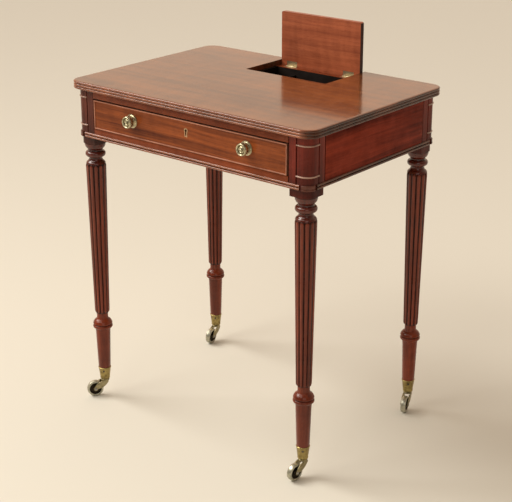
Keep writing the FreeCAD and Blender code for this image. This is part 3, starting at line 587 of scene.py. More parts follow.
# The plinth is given a dark colour: painted shade under the frieze.
plinth_painted_shade = timber(
    "plinth_painted_shade", ALONG_X, (0.13, 0.04, 0.024), (0.06, 0.017, 0.01), coat=(0.3, 0.2), wear_and_highlight=0.8
)
reeded_shaft = make_reeded_shaft()
HEAD_HALF, HEAD_ROUND, PANEL_REACH = 0.024, 0.019, 0.030
GROOVE_WIDE, GROOVE_DEEP = 1.4 * MM, 2.2 * MM
BLOCK_HALF, BLOCK_ROUND = 0.0225, 0.018
NECK_FOOT, HEAD_FOOT, BEAD_FOOT = 0.545, 0.5945, 0.610
FINISH_HEIGHTS = (NECK_FOOT, HEAD_FOOT)
PANEL_BEADS = (0.6365, 0.696)
FRIEZE_SHADE_RELIEF, SHADE_REACH = -0.8, 12 * MM
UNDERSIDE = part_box("table_top")[0].z
LEG_TOP_PROFILE = moulding(
    (21.6, 595.2), (22.2, 594.4), (22.4, 593.2), (22.3, 592.0),
    (arc_points, (15.9, 579.6), 1.6), (15.6, 578.6), (15.6, 576.8), (16.2, 575.8),
    (round_points, (16.2, 563.2), 5.4), (14.6, 561.8), (14.2, 560.4), (14.2, 559.4),
    (arc_points, (17.4, 553.4), -0.7), (arc_points, (20.6, 549.2), 0.5), (20.9, 548.6),
    (20.4, 547.9), (17.0, 546.6)
)
LEG_FOOT_PROFILE = moulding(
    (12.6, 204.0), (12.4, 201.0), (12.4, 192.2), (arc_points, (15.4, 187.0), -0.7),
    (arc_points, (20.9, 179.4), 0.7), (21.3, 178.2), (21.0, 177.2), (19.6, 176.5),
    (18.9, 175.8), (18.9, 174.8), (19.5, 174.3), (round_points, (19.4, 167.4), 2.3),
    (18.2, 166.8), (arc_points, (16.6, 163.2), -0.5), (16.1, 158.0), (13.45, 71.0),
    (12.6, 69.0), (9.1, 51.2), (0, 51.2)
)
THIN_BEAD = moulding((-0.8, -1.6), (0, -1.6), (round_points, (0, 1.6), 2.0), (-0.8, 1.6))
CORNER_PLINTH = moulding(
    (-2, 610.0), (1.6, 610.0), (round_points, (1.6, 613.8), 1.4), (2.3, 614.2), (2.6, 614.8),
    (2.6, 620.2), (2.0, 621.0), (-2, 621.0)
)


def corner_arc(half, rounding):
    """The rounded outer corner of a head, from its X face to its Y face."""
    corner, turns = half - rounding, [math.pi / 2 * i / 12 for i in range(13)]
    return [(corner + rounding * math.cos(a), corner + rounding * math.sin(a)) for a in turns]


def turned_to(points, sign_x, sign_y):
    """An outline mirrored for one leg, and still run the same way round."""
    points = [(x * sign_x, y * sign_y) for x, y in points]
    return points if sign_x * sign_y > 0 else points[::-1]


def head_outline(half, rounding, groove):
    """The head seen from above, its outer corner rounded. A groove marks each side of the panel."""
    line, bed = half - PANEL_REACH, half - GROOVE_DEEP
    edge, flat = GROOVE_WIDE, GROOVE_WIDE * 0.6
    cut = [(half, line - edge), (bed, line - flat), (bed, line + flat), (half, line + edge)]
    cut = cut if groove else []
    ease = MM if groove else 0
    points = [(-half + ease, -half), (half - ease, -half), (half, -half + ease), *cut]
    points += corner_arc(half, rounding)
    points += [(y, x) for x, y in reversed(cut)] + [(-half + ease, half), (-half, half - ease)]
    return list(dict.fromkeys([*points, (-half, -half + ease)]))


def corner_run(start):
    """The way round a head's outer corner, from one side of the panel to the other."""
    return [(HEAD_HALF, start), *corner_arc(HEAD_HALF, HEAD_ROUND), (start, HEAD_HALF)]


def in_shade(spot):
    """The band of a head beside the frieze beads, darkened there as painted shade."""
    return HEAD_FOOT - 2 * MM < spot.z < BEAD_FOOT + SHADE_REACH


def cup_axis(corner):
    """The point on the floor under the middle of a leg."""
    low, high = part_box("castor_cup_" + corner)
    return Vector(((low.x + high.x) / 2, (low.y + high.y) / 2, 0))


for corner, signs in LEG_SIGNS.items():
    axis = cup_axis(corner)
    place = Matrix.Translation(axis)
    bm = bmesh.new()
    panelled = turned_to(head_outline(HEAD_HALF, HEAD_ROUND, True), *signs)
    prism(bm, panelled, BEAD_FOOT, UNDERSIDE, place)
    plain = turned_to(head_outline(BLOCK_HALF, BLOCK_ROUND, False), *signs)
    prism(bm, plain, HEAD_FOOT, BEAD_FOOT, place)
    lathe(bm, LEG_TOP_PROFILE, place, steps=96)
    lathe(bm, LEG_FOOT_PROFILE, place, steps=72)
    mesh = finish_mesh(bm)
    show("leg_" + corner, mesh, mahogany_legs)
    # Painted light: the right heads take the shaded copy of the head finish, the left heads the
    # darkened one.
    head = head_shaded_side if "right" in corner else head_lit_side_darkened
    finish_faces(mesh, [neck_tone_and_shade, head], lambda f: sum(f.center.z > z for z in FINISH_HEIGHTS))
    # Painted shade: the band beside the frieze beads is marked as a hollow, so it darkens.
    darken_grime_and_shade(mesh, FRIEZE_SHADE_RELIEF, in_shade)
    beads, plinth = bmesh.new(), bmesh.new()
    way = turned_to(corner_run(HEAD_HALF - PANEL_REACH), *signs)
    for middle in PANEL_BEADS:
        run_along(beads, way, THIN_BEAD, place @ Matrix.Translation((0, 0, middle)))
    way = turned_to(corner_run(HEAD_HALF - HEAD_ROUND - 0.2 * MM), *signs)
    run_along(plinth, way[2:-2], CORNER_PLINTH, place)
    show("leg_beads_" + corner, finish_mesh(beads), bead_painted_highlight)
    show("leg_plinth_" + corner, finish_mesh(plinth), plinth_painted_shade)
    shaft = grown(reeded_shaft, "leg_reeds", {"Centre": axis, "Finish": mahogany_legs})
    shaft.shade_smooth()
    show("leg_reeds_" + corner, shaft, mahogany_legs)


# Rails: plain mahogany boards tenoned between the legs, flush with them on the outside. The arrises
# are eased by a stroke of the plane, so each joint shows as a fine line.
mahogany_front = timber(
    "mahogany_front", ALONG_X, (0.29, 0.062, 0.018), (0.09, 0.017, 0.006), ripple=0.12
)
SIDE_FIGURE = {"ripple": 0.05, "figured": 1.5}
# Lit and shaded copies of the side finish, painted light: the right side, in shade, is redder and
# almost unpolished, the lit left side browner.
side_shaded_copy = timber(
    "side_shaded_copy",
    ALONG_Y,
    (0.27, 0.042, 0.021),
    (0.065, 0.0095, 0.006),
    coat=(0.02, 0.06),
    shine=0.012,
    offset=(0.3, 0.1, 0),
    **SIDE_FIGURE,
)
side_lit_copy = timber(
    "side_lit_copy",
    ALONG_Y,
    (0.25, 0.054, 0.019),
    (0.07, 0.013, 0.005),
    coat=(0.08, 0.06),
    offset=(0.1, 0.4, 0),
    **SIDE_FIGURE,
)


def block(bm, low, high):
    """A square block between two corners."""
    outline = [(low[0], low[1]), (high[0], low[1]), (high[0], high[1]), (low[0], high[1])]
    prism(bm, outline, low[2], high[2])


def cut_out(mesh, boxes, crease=35):
    """The mesh with square mortises, (low, high) corners, taken out of it."""
    bm = bmesh.new()
    for low, high in boxes:
        block(bm, low, high)
    solid, tool = placed("cut_solid", mesh), placed("cut_tool", finish_mesh(bm))
    modifier = solid.modifiers.new("cut", "BOOLEAN")
    modifier.object, modifier.operation, modifier.solver = tool, "DIFFERENCE", "MANIFOLD"
    result = settled(solid)
    bpy.data.objects.remove(tool)
    return smooth(result, crease)


def planed_board(
    name, low, high, material, ease=1.2 * MM, mortises=(), along=0
):
    """A carcass board between two corners, its arrises eased and old polish dark at both ends."""
    bm = bmesh.new()
    block(bm, low, high)
    bmesh.ops.bevel(bm, geom=bm.edges[:], offset=ease, segments=2, profile=0.6, affect="EDGES")
    mesh = finish_mesh(bm, crease=50)
    if mortises:
        mesh = cut_out(mesh, mortises, crease=50)
    show(name, mesh, material)
    first, last = low[along] + ease * 0.8, high[along] - ease * 0.8
    darken_grime_and_shade(mesh, -1.0, lambda spot: not first <= spot[along] <= last)


def finish_nodes(material, *names):
    """Gives CAD pieces whose shape is right their own finish."""
    for name in names:
        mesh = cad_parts[name].data
        mesh.materials.clear()
        mesh.materials.append(material)


CARCASS_Y = sum(v.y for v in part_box("left_side_rail")) / 2
INNER_X, INNER_Y = 0.2564, 0.1651
for rail, wood in (("left_side_rail", side_lit_copy), ("right_side_rail", side_shaded_copy)):
    low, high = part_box(rail)
    low.y, high.y = CARCASS_Y - INNER_Y, CARCASS_Y + INNER_Y
    planed_board(rail, low, high, wood, along=1)
low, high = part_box("front_bottom_rail")
low.x, high.x = -INNER_X, INNER_X
planed_board("front_bottom_rail", low, high, mahogany_front)
low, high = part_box("front_top_rail")
low.x, high.x = -INNER_X, INNER_X
DRAWER_PLAY, BOLT_PLAY, BOLT_RISE = 1.6 * MM, 0.6 * MM, 8 * MM
low.z += DRAWER_PLAY
bolt_low, bolt_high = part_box("lock_bolt")
play = Vector((BOLT_PLAY, BOLT_PLAY, 0))
keep = (bolt_low - play, bolt_high + play + Vector((0, 0, BOLT_RISE)))
planed_board("front_top_rail", low, high, mahogany_front, ease=0.6 * MM, mortises=[keep])
finish_nodes(mahogany_front, "back_rail")


# Frieze beads: a double bead in one strip, planted along the foot of the frieze at the front and
# sides. It stops just short of the rounded corners.
DOUBLE_BEAD = moulding(
    (0, 610.0), (round_points, (0, 614.9), 2.9), (0, 616.0), (round_points, (0, 620.9), 2.9),
    (-0.3, 621.0), (-0.3, 610.0)
)
edge_light, edge_dark = (0.28, 0.083, 0.029), (0.105, 0.026, 0.009)
mahogany_edge = timber("mahogany_edge", ALONG_X, edge_light, edge_dark, coat=(0.9, 0.19), wear_and_highlight=1.0)
FACE_X, FACE_Y = 0.305, 0.214
short = HEAD_ROUND + 3.2 * MM
run_x, run_y = FACE_X - short, FACE_Y - short
bm = bmesh.new()
for start, end in (
    ((-run_x, -FACE_Y), (run_x, -FACE_Y)),
    ((FACE_X, -run_y), (FACE_X, run_y)),
    ((-FACE_X, run_y), (-FACE_X, -run_y)),
):
    run_along(bm, [start, end], DOUBLE_BEAD, Matrix.Translation((0, CARCASS_Y, 0)))
mesh = finish_mesh(bm)
show("frieze_beads", mesh, mahogany_edge)
# Painted shade: both side runs are marked as hollows, so they darken.
darken_grime_and_shade(mesh, -0.9, lambda spot: abs(spot.x) > FACE_X - MM)


# Drawer guides and glue blocks: plain oak strips glued inside the frieze. They are planed but not
# polished, and browned with age.
PLANED = {"coat": (0, 0.5), "ripple": 0.12, "pores": 0.8, "gloss": (0.6, 0.78), "shine": 0.3}
old_oak = timber("old_oak", ALONG_Y, (0.36, 0.215, 0.11), (0.17, 0.09, 0.042), **PLANED)
finish_nodes(old_oak, "drawer_runner_left", "drawer_runner_right", "drawer_kickers", "drawer_stops")
finish_nodes(old_oak, "top_glue_blocks")


# Top: one wide mahogany board with three reeds run round its edge and rounded corners. The back is
# notched for the flap, and the reeds stop at the notch.
TOP_OFFSET = (0.4, 0.23, 0.1)


def top_timber(name, grain, offset):
    """The timber of the top, with its high polish."""
    made = timber(
        name,
        grain,
        (0.228, 0.068, 0.0135),
        (0.085, 0.0215, 0.0045),
        coat=(0.88, 0.12),
        ripple=0.2,
        pores=0.4,
        gloss=(0.12, 0.22),
        shine=0.1,
        offset=offset,
        figured=1.5,
    )
    made.node_tree.nodes["Principled BSDF"].inputs["Coat IOR"].default_value = 1.8
    return made


mahogany_top = top_timber("mahogany_top", ALONG_X, TOP_OFFSET)
low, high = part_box("table_top")
TOP = high.z
NOTCH_LEFT, NOTCH_RIGHT = -0.093, 0.119
NOTCH_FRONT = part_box("well_front")[0].y
REED_OUT, CORNER = 2.2 * MM, 30 * MM
reed_half = (high.z - low.z) / 6
edge_x, edge_y = high.x - REED_OUT, (high.y - low.y) / 2 - REED_OUT
inside = CORNER - REED_OUT
REED_FULL, REED_BLUNT = 0.86, 0.9
FLAT_FROM, FLAT_TO = -4 * MM, -1.2 * MM


def reed_points(middle, first=0, last=10):
    """One reed of the edge, (out, height) points from its upper side to its lower."""
    points = []
    for k in range(first, last + 1):
        a = math.pi * k / 10
        out = math.sin(a) ** REED_BLUNT * REED_OUT
        points.append((out, middle + math.cos(a) * reed_half * REED_FULL))
    return points


EDGE_SECTION = [(FLAT_FROM, high.z), (FLAT_TO, high.z)]
for i in range(3):
    EDGE_SECTION += reed_points(high.z - reed_half * (2 * i + 1))
EDGE_SECTION += [(FLAT_TO, low.z), (FLAT_FROM, low.z)]


def top_path():
    """The edge of the board from the left of the notch, round the front, to its right."""
    points = [(NOTCH_LEFT, edge_y)]
    for turn, (x, y) in enumerate(((-1, 1), (-1, -1), (1, -1), (1, 1))):
        centre = Vector((x * (edge_x - inside), y * (edge_y - inside)))
        for i in range(15):
            a = math.pi / 2 * (turn + 1 + i / 14)
            points.append(tuple(centre + Vector((math.cos(a), math.sin(a))) * inside))
    points.append((NOTCH_RIGHT, edge_y))
    return [(x, y + CARCASS_Y) for x, y in points]


def board_with_edge(path, section, notch_y):
    """A board whose edge section follows a path, closed by flat faces and a notch at the back."""
    bm = bmesh.new()
    rings = mitred_rings(bm, path, section)
    for here, there in zip(rings, rings[1:]):
        join_rings(bm, here, there, closed=False)
    sides = []
    for x in (path[0][0], path[-1][0]):
        sides.append([bm.verts.new((x, notch_y, section[k][1])) for k in (0, -1)])
    (left_top, left_foot), (right_top, right_foot) = sides
    bm.faces.new([ring[0] for ring in rings] + [right_top, left_top])
    bm.faces.new([ring[-1] for ring in rings] + [right_foot, left_foot])
    bm.faces.new(rings[0] + [left_foot, left_top])
    bm.faces.new(rings[-1] + [right_foot, right_top])
    bm.faces.new((left_top, left_foot, right_foot, right_top))
    bmesh.ops.triangulate(bm, faces=[f for f in bm.faces if len(f.verts) > 4])
    return bm


mesh = finish_mesh(board_with_edge(top_path(), EDGE_SECTION, NOTCH_FRONT))
show("table_top", mesh, mahogany_top)
finish_faces(mesh, [mahogany_edge], lambda face: 0 if face.normal.z > 0.99 else 1)
# Painted shade: the faces of the edge that turn to the right are marked as hollows, darker the more
# they face that way.
marks = mesh.attributes["relief"].data
for i, vert in enumerate(mesh.vertices):
    shade_to_right = min(1.0, max(0.0, vert.normal.x * 1.6))
    marks[i].value += (-1.0 - marks[i].value) * shade_to_right


# Pen well: thin boards nailed up under the notch as a tray, with two low dividers. Ink and stain
# have turned the wood nearly black.
stained = timber(
    "stained_lining",
    ALONG_X,
    (0.014, 0.008, 0.006),
    (0.005, 0.003, 0.002),
    coat=(0, 0.5),
    ripple=0.2,
    pores=0.5,
    gloss=(0.38, 0.6),
    shine=0.12,
)
finish_nodes(stained, "well_front", "well_left", "well_right", "well_bottom", "well_dividers")
low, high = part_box("well_bottom")
low.z, high.z = high.z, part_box("well_left")[1].z - 0.2 * MM
low.y, high.y = high.y - 0.3 * MM, high.y
planed_board("well_back_stain", low, high, stained, ease=0.05 * MM)


# Flap: a thinner mahogany board that closes the notch. It carries the upper reeds on along the
# back edge, and turns up on two small brass butts let in flush.
mahogany_flap = timber(
    "mahogany_flap",
    ALONG_X,
    (0.47, 0.128, 0.056),
    (0.2, 0.046, 0.022),
    coat=(0.4, 0.22),
    ripple=0.22,
    offset=(0.15, 0.4, 0.3),
)
# The flap's ends are nearly black: partly end grain, partly painted shade.
end_grain_and_shade = timber("end_grain_and_shade", ALONG_Y, (0.05, 0.011, 0.006), (0.018, 0.004, 0.003), ripple=0.3)
PIN_Y, PIN_Z = CARCASS_Y + 0.2035, 0.717
FLAP_GAP, FLAP_ROUND, BARREL_PLAY = 0.6 * MM, 4 * MM, 0.6 * MM
FLAP_UNDER = TOP - 4 * reed_half
OPENED_GRAIN = (math.pi / 2, 0, 0)
lid_offset = (TOP_OFFSET[0], TOP_OFFSET[1] + PIN_Y + PIN_Z, TOP_OFFSET[2] + PIN_Z - PIN_Y)
mahogany_lid = top_timber("mahogany_lid", OPENED_GRAIN, lid_offset)
opened = (
    Matrix.Translation((0, PIN_Y, PIN_Z))
    @ Matrix.Rotation(-math.pi / 2, 4, "X")
    @ Matrix.Translation((0, -PIN_Y, -PIN_Z))
)
LEAF_LONG, LEAF_DEEP = 28 * MM, 1.2 * MM
LEAF_FRONT, LEAF_BACK = CARCASS_Y + 0.1914, CARCASS_Y + 0.2015
HINGES = (NOTCH_LEFT + 0.030, NOTCH_RIGHT - 0.030)
EASE, FLAT_STOP = 0.4 * MM, 4 * MM
flap_front, reed_back = NOTCH_FRONT + FLAP_GAP, CARCASS_Y + edge_y
flap_section = [(y, FLAP_UNDER) for y in (flap_front, reed_back - FLAT_STOP, reed_back)]
for i in range(2):
    reed = reed_points(FLAP_UNDER + reed_half * (2 * i + 1), 1, 9)
    flap_section += [(reed_back + out, up) for out, up in reversed(reed)]
flap_section += [(reed_back - EASE, TOP), (reed_back - FLAT_STOP, TOP)]
flap_section += [(flap_front + EASE, TOP), (flap_front, TOP - EASE)]


def eased_bar(bm, section, low, high, ease, rounding, place):
    """A bar of one section, with both ends eased and the corners of its front edge rounded."""
    wide = [max(p[k] for p in section) - min(p[k] for p in section) for k in (0, 1)]
    mid = [(max(p[k] for p in section) + min(p[k] for p in section)) / 2 for k in (0, 1)]
    front = min(p[0] for p in section) + 2 * ease
    stops = [rounding * (1 - math.cos(math.pi / 2 * i / 6)) for i in range(7)]
    stops = sorted({ease, *[s for s in stops if s > ease]})
    shrunk = [1 - 2 * ease / w for w in wide]
    rings = []
    for along in [low, *[low + s for s in stops], *[high - s for s in reversed(stops)], high]:
        gone = max(0, rounding - min(along - low, high - along))
        back = rounding - math.sqrt(rounding**2 - gone**2)
        outline = [(p[0] + (back if p[0] < front else 0), p[1]) for p in section]
        if along in (low, high):
            outline = [[mid[k] + (p[k] - mid[k]) * shrunk[k] for k in (0, 1)] for p in outline]
        rings.append([bm.verts.new(place @ Vector((*spot, along))) for spot in outline])
    bm.faces.new(rings[0][::-1])
    bm.faces.new(rings[-1])
    for here, there in zip(rings, rings[1:]):
        join_rings(bm, here, there)


bm = bmesh.new()
stand = Matrix(((0, 0, 1, 0), (1, 0, 0, 0), (0, 1, 0, 0), (0, 0, 0, 1)))
flap_left, flap_right = NOTCH_LEFT + FLAP_GAP, NOTCH_RIGHT - FLAP_GAP
eased_bar(bm, flap_section, flap_left, flap_right, EASE, FLAP_ROUND, stand)
seats = []
outside, leaf_seat = FLAP_UNDER - 2 * MM, FLAP_UNDER + LEAF_DEEP
barrel_back, barrel_seat = PIN_Y + 2.5 * MM, leaf_seat + 0.3 * MM
for middle in HINGES:
    left, right = middle - LEAF_LONG / 2, middle + LEAF_LONG / 2
    seats.append(((left, LEAF_FRONT, outside), (right, LEAF_BACK, leaf_seat)))
    left, right = left - BARREL_PLAY, right + BARREL_PLAY
    seats.append(((left, LEAF_BACK, outside), (right, barrel_back, barrel_seat)))
flap_mesh = cut_out(finish_mesh(bm), seats)
flap_mesh.transform(opened)
show("pen_flap", flap_mesh, mahogany_flap, "flap")
flap_face = min(vert.co.y for vert in flap_mesh.vertices)
marks = flap_mesh.attributes["relief"].data
for i, vert in enumerate(flap_mesh.vertices):
    if vert.co.y - flap_face < 0.05 * MM:
        marks[i].value = 0


def flap_finish(face):
    return 1 if abs(face.normal.x) > 0.8 else 2 if face.normal.y > 0.99 else 0


finish_faces(flap_mesh, [end_grain_and_shade, mahogany_lid], flap_finish)


# Hinges and screws: two cast brass butts, let in flush and held by slotted screws whose heads lie
# just proud of the leaves. Larger iron screws hold the top from below.
def make_brass_patina():
    """Old brass: bright where it is rubbed, browner and duller in the hollows and in patches."""
    tree, have, give = new_group(
        "ShaderNodeTree",
        "brass_patina",
        {"Vector": "Vector", "Bright": "Color", "Tarnish": "Color"}
        | dict.fromkeys(("Relief", "Age", "Dull"), "Float"),
        {"Color": "Color", "Roughness": "Float", "Height": "Float"},
    )
    cloud = stretched_noise(have["Vector"], (130, 130, 130), 5, 0.65)
    speck = stretched_noise(have["Vector"], (900, 900, 900), 2)
    hollow = times(have["Relief"], -1.2, clamp=True)
    stain = plus(hollow, spread(cloud, 0.42, 0.72, 0.0, 0.8), clamp=True)
    stain = times(stain, have["Age"], clamp=True)
    colour = blend_colour(stain, have["Bright"], have["Tarnish"])
    rough = plus(spread(stain, 0, 1, 0.16, 0.5), times(speck, 0.1))
    rough = plus(rough, have["Dull"], clamp=True)
    fill(give, {"Color": colour, "Roughness": rough, "Height": times(speck, cloud)})
    return tree


brass_patina = make_brass_patina()


def old_metal(name, bright, tarnish, age, dull=0.0):
    """Metal with a patina of its own."""
    material, tree, shader = new_material(name)
    patina = use_group(
        tree,
        brass_patina,
        Vector=add_node(tree, "ShaderNodeTexCoord").outputs["Object"],
        Relief=relief_mark(tree),
        Bright=(*bright, 1),
        Tarnish=(*tarnish, 1),
        Age=age,
        Dull=dull,
    )
    bump = rough_surface(tree, patina["Height"], 0.1, 0.2 * MM)
    fill(shader.inputs, {"Base Color": patina["Color"], "Roughness": patina["Roughness"]})
    fill(shader.inputs, {"Normal": bump, "Metallic": 1.0})
    return material


hinge_brass = old_metal("hinge_brass", (0.56, 0.48, 0.32), (0.24, 0.18, 0.1), age=0.7, dull=0.16)
dull_steel = old_metal("dull_steel", (0.36, 0.35, 0.33), (0.1, 0.08, 0.065), age=0.7)
finish_nodes(hinge_brass, "hinge_leaves_fixed", "hinge_leaves_flap", "hinge_pins")


def slotted_head(radius):
    """A low round head, cut across by a slot: two half-moons on a thin disc."""
    bm = bmesh.new()
    slot, bed, rise, sunk = radius * 0.16, 0.04 * MM, 0.28 * MM, -0.4 * MM
    lathe(bm, [(0, bed), (radius * 0.98, bed), (radius * 0.98, sunk)], Matrix(), steps=24)
    start = math.asin(slot / radius)
    for side in (0, math.pi):
        arc = [start + (math.pi - 2 * start) * i / 10 + side for i in range(11)]
        ring = [(radius * math.cos(a), radius * math.sin(a)) for a in arc]
        foot = [bm.verts.new((x, y, sunk)) for x, y in ring]
        brow = [bm.verts.new((x, y, rise * 0.5)) for x, y in ring]
        crown = []
        for x, y in ring:
            inner = y * 0.82 if abs(y) > slot * 1.3 else y
            crown.append(bm.verts.new((x * 0.82, inner, rise)))
        bm.faces.new(crown)
        join_rings(bm, foot, brow)
        join_rings(bm, brow, crown)
    return finish_mesh(bm, crease=30)


def make_screw_row():
    """Sets a screw at each point of a mesh, facing the way its point says, at a random turn."""
    tree, have, give = new_group(
        "GeometryNodeTree",
        "screw_row",
        {"Geometry": "Geometry", "Screw": "Object", "Seed": ("Int", 3), "Finish": "Material"},
        {"Geometry": "Geometry"},
    )
    screw = add_node(tree, "GeometryNodeObjectInfo", {"Object": have["Screw"]}).outputs["Geometry"]
    facing = add_node(
        tree, "GeometryNodeInputNamedAttribute", {"Name": "facing"}, data_type="FLOAT_VECTOR"
    )
    turn = add_node(tree, "FunctionNodeRandomValue", {"Seed": have["Seed"]}, data_type="FLOAT")
    angle = times(socket_named(turn.outputs, "Value"), 6.28)
    about = {"Axis": (0, 0, 1), "Angle": angle}
    spin = add_node(tree, "FunctionNodeAxisAngleToRotation", about).outputs[0]
    aim = add_node(
        tree, "FunctionNodeAlignRotationToVector", {"Vector": facing.outputs["Attribute"]}, axis="Z"
    ).outputs[0]
    turns = {"Rotation": aim, "Rotate By": spin}
    both = add_node(tree, "FunctionNodeRotateRotation", turns, rotation_space="LOCAL").outputs[0]
    row = {"Points": have["Geometry"], "Instance": screw, "Rotation": both}
    set_in = add_node(tree, "GeometryNodeInstanceOnPoints", row).outputs[0]
    give_real(tree, set_in, have["Finish"], give["Geometry"])
    return tree


screw_row = make_screw_row()


def screws(name, places, material, body, radius):
    """Slotted screws at (point, facing) places, for the rough node of the same name."""
    points = bpy.data.meshes.new(name + "_points")
    points.from_pydata([spot for spot, way in places], [], [])
    facing = points.attributes.new("facing", "FLOAT_VECTOR", "POINT")
    for i, (spot, way) in enumerate(places):
        facing.data[i].vector = way
    blank = placed("screw_blank", slotted_head(radius))
    mesh = grown(screw_row, name, {"Screw": blank, "Finish": material}, points)
    bpy.data.objects.remove(blank)
    show(name, mesh, material, body)


screw_y, SUNK = LEAF_FRONT + 5 * MM, 0.3 * MM
screw_x = [middle + offset for middle in HINGES for offset in (-9 * MM, 0, 9 * MM)]
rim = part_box("well_left")[1].z
places = [((x, screw_y, rim - SUNK), (0, 0, 1)) for x in screw_x]
screws("hinge_screws_fixed", places, hinge_brass, "carcass", radius=2 * MM)
places = [(opened @ Vector((x, screw_y, FLAP_UNDER + SUNK)), (0, -1, 0)) for x in screw_x]
screws("hinge_screws_flap", places, hinge_brass, "flap", radius=2 * MM)
block_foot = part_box("top_glue_blocks")[0].z
SIDE_BLOCK_X, SIDE_BLOCK_Y = 0.2795, (-0.090, 0.060)
BACK_BLOCK_X, BACK_BLOCK_Y = 0.180, 0.1779
heads = [(x, y) for x in (-SIDE_BLOCK_X, SIDE_BLOCK_X) for y in SIDE_BLOCK_Y]
heads += [(x, BACK_BLOCK_Y) for x in (-BACK_BLOCK_X, BACK_BLOCK_X)]
places = [((x, CARCASS_Y + y, block_foot), (0, 0, -1)) for x, y in heads]
screws("top_screws", places, dull_steel, "carcass", radius=4 * MM)


# Drawer: a figured mahogany front with a thin cockbead let in all round, on an oak box. The bead
# stands a little proud of the face and catches the light.
mahogany_drawer = timber(
    "mahogany_drawer",
    ALONG_X,
    (0.315, 0.078, 0.0205),
    (0.075, 0.014, 0.005),
    ripple=0.06,
    offset=(0.7, 0.05, 0.2),
    figured=1.5,
)
finish_nodes(mahogany_drawer, "drawer_front")
finish_nodes(old_oak, "drawer_side_left", "drawer_side_right", "drawer_back")
oak_bottom = timber(
    "oak_bottom", ALONG_X, (0.34, 0.2, 0.1), (0.16, 0.085, 0.04), offset=(0.2, 0.6, 0.4), **PLANED
)
finish_nodes(oak_bottom, "drawer_bottom")
# The cockbead is given a pale colour, a painted highlight for the light along it.
cockbead_painted_highlight = timber(
    "cockbead_painted_highlight", ALONG_X, (0.46, 0.2, 0.125), (0.26, 0.095, 0.056), coat=(0.2, 0.3), wear_and_highlight=0.8
)
COCKBEAD, NOSE, SIDE_PLAY = 2.6 * MM, 1.3 * MM, 1.9 * MM
low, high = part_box("drawer_cockbead")
bead_depth = high.y - low.y
low.x, high.x = low.x + SIDE_PLAY, high.x - SIDE_PLAY
left, right, foot, head = low.x + COCKBEAD, high.x - COCKBEAD, low.z + COCKBEAD, high.z - COCKBEAD
section = [(0, 0), (0, bead_depth - NOSE)]
for k in range(1, 8):
    a = math.pi * k / 8
    section.append(((1 - math.cos(a)) * COCKBEAD / 2, bead_depth - NOSE + math.sin(a) * NOSE))
section += [(COCKBEAD, bead_depth - NOSE), (COCKBEAD, 0)]
upright = Matrix.Translation((0, high.y, 0)) @ Matrix.Rotation(math.pi / 2, 4, "X")
bm = bmesh.new()
path = [(left, foot), (right, foot), (right, head), (left, head)]
run_along(bm, path, section, upright, closed=True)
mesh = finish_mesh(bm)
show("drawer_cockbead", mesh, cockbead_painted_highlight, "drawer")


def bead_rim(spot):
    """The outer face of the bead, darkened as painted shade in the gap round the drawer."""
    across = min(spot.x - low.x, high.x - spot.x)
    return min(across, spot.z - low.z, high.z - spot.z) < 0.1 * MM


darken_grime_and_shade(mesh, -1.0, bead_rim)


# Knobs: cast and turned brass, each with a ringed face on a waisted neck, on a thin rose. A screwed
# shank goes through the drawer front to a nut.
knob_brass = old_metal("knob_brass", (0.62, 0.56, 0.38), (0.11, 0.09, 0.04), age=0.9)
KNOB_PROFILE = moulding(
    (2.4, -22.9), (2.4, 2.6), (11.2, 2.6), (11.5, 3.2), (11.2, 4.0),
    (arc_points, (10.4, 7.4), -0.5), (10.8, 8.4), (11.7, 9.2), (12.2, 10.4),
    (round_points, (12.2, 15.6), 0.6), (12.1, 16.4), (11.6, 17.4), (10.8, 17.9), (9.9, 17.8),
    (9.2, 17.0), (8.8, 15.9), (8.0, 15.3), (6.9, 15.4), (6.2, 16.2), (5.4, 16.7), (4.5, 16.3),
    (4.0, 15.6), (3.2, 15.8), (2.4, 17.6), (1.4, 18.7), (0, 19.0)
)
ROSE_PROFILE = moulding(
    (2.6, 0), (14.2, 0), (14.5, 0.5), (14.3, 1.2), (13.4, 1.5), (12.8, 1.5), (12.2, 2.2),
    (11.0, 2.6), (2.6, 2.6)
)


def turned(name, profile, place, material, body, steps=72, crease=35):
    """A turned piece, for the rough node of the same name."""
    bm = bmesh.new()
    lathe(bm, profile, place, steps)
    mesh = finish_mesh(bm, crease)
    show(name, mesh, material, body)
    return mesh


knob_z = sum(v.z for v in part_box("knob_left")) / 2
bm = bmesh.new()
for name in ("knob_left", "knob_right"):
    low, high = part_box(name)
    forward = Matrix.Translation(((low.x + high.x) / 2, CARCASS_Y - FACE_Y, knob_z))
    forward = forward @ Matrix.Rotation(math.pi / 2, 4, "X")
    turned(name, KNOB_PROFILE, forward, knob_brass, "drawer", crease=50)
    lathe(bm, ROSE_PROFILE, forward)
show("knob_roses", finish_mesh(bm), knob_brass, "drawer")
finish_nodes(dull_steel, "knob_nuts")


# Lock: a thin brass edge lines the keyhole. Behind it a brass box lock is let into the front, with
# an iron bolt that lifts into the rail above.
thread_brass = old_metal("thread_brass", (0.5, 0.33, 0.2), (0.2, 0.11, 0.055), age=0.7)
finish_nodes(thread_brass, "escutcheon")
finish_nodes(hinge_brass, "lock_case")
finish_nodes(dull_steel, "lock_bolt")
low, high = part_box("lock_case")
IN_SIDE, IN_TOP = 5 * MM, 6 * MM
across, up = (low.x + IN_SIDE, high.x - IN_SIDE), (low.z + IN_SIDE, high.z - IN_TOP)
places = [((x, high.y, z), (0, 1, 0)) for x in across for z in up]
screws("lock_screws", places, dull_steel, "drawer", radius=2.2 * MM)


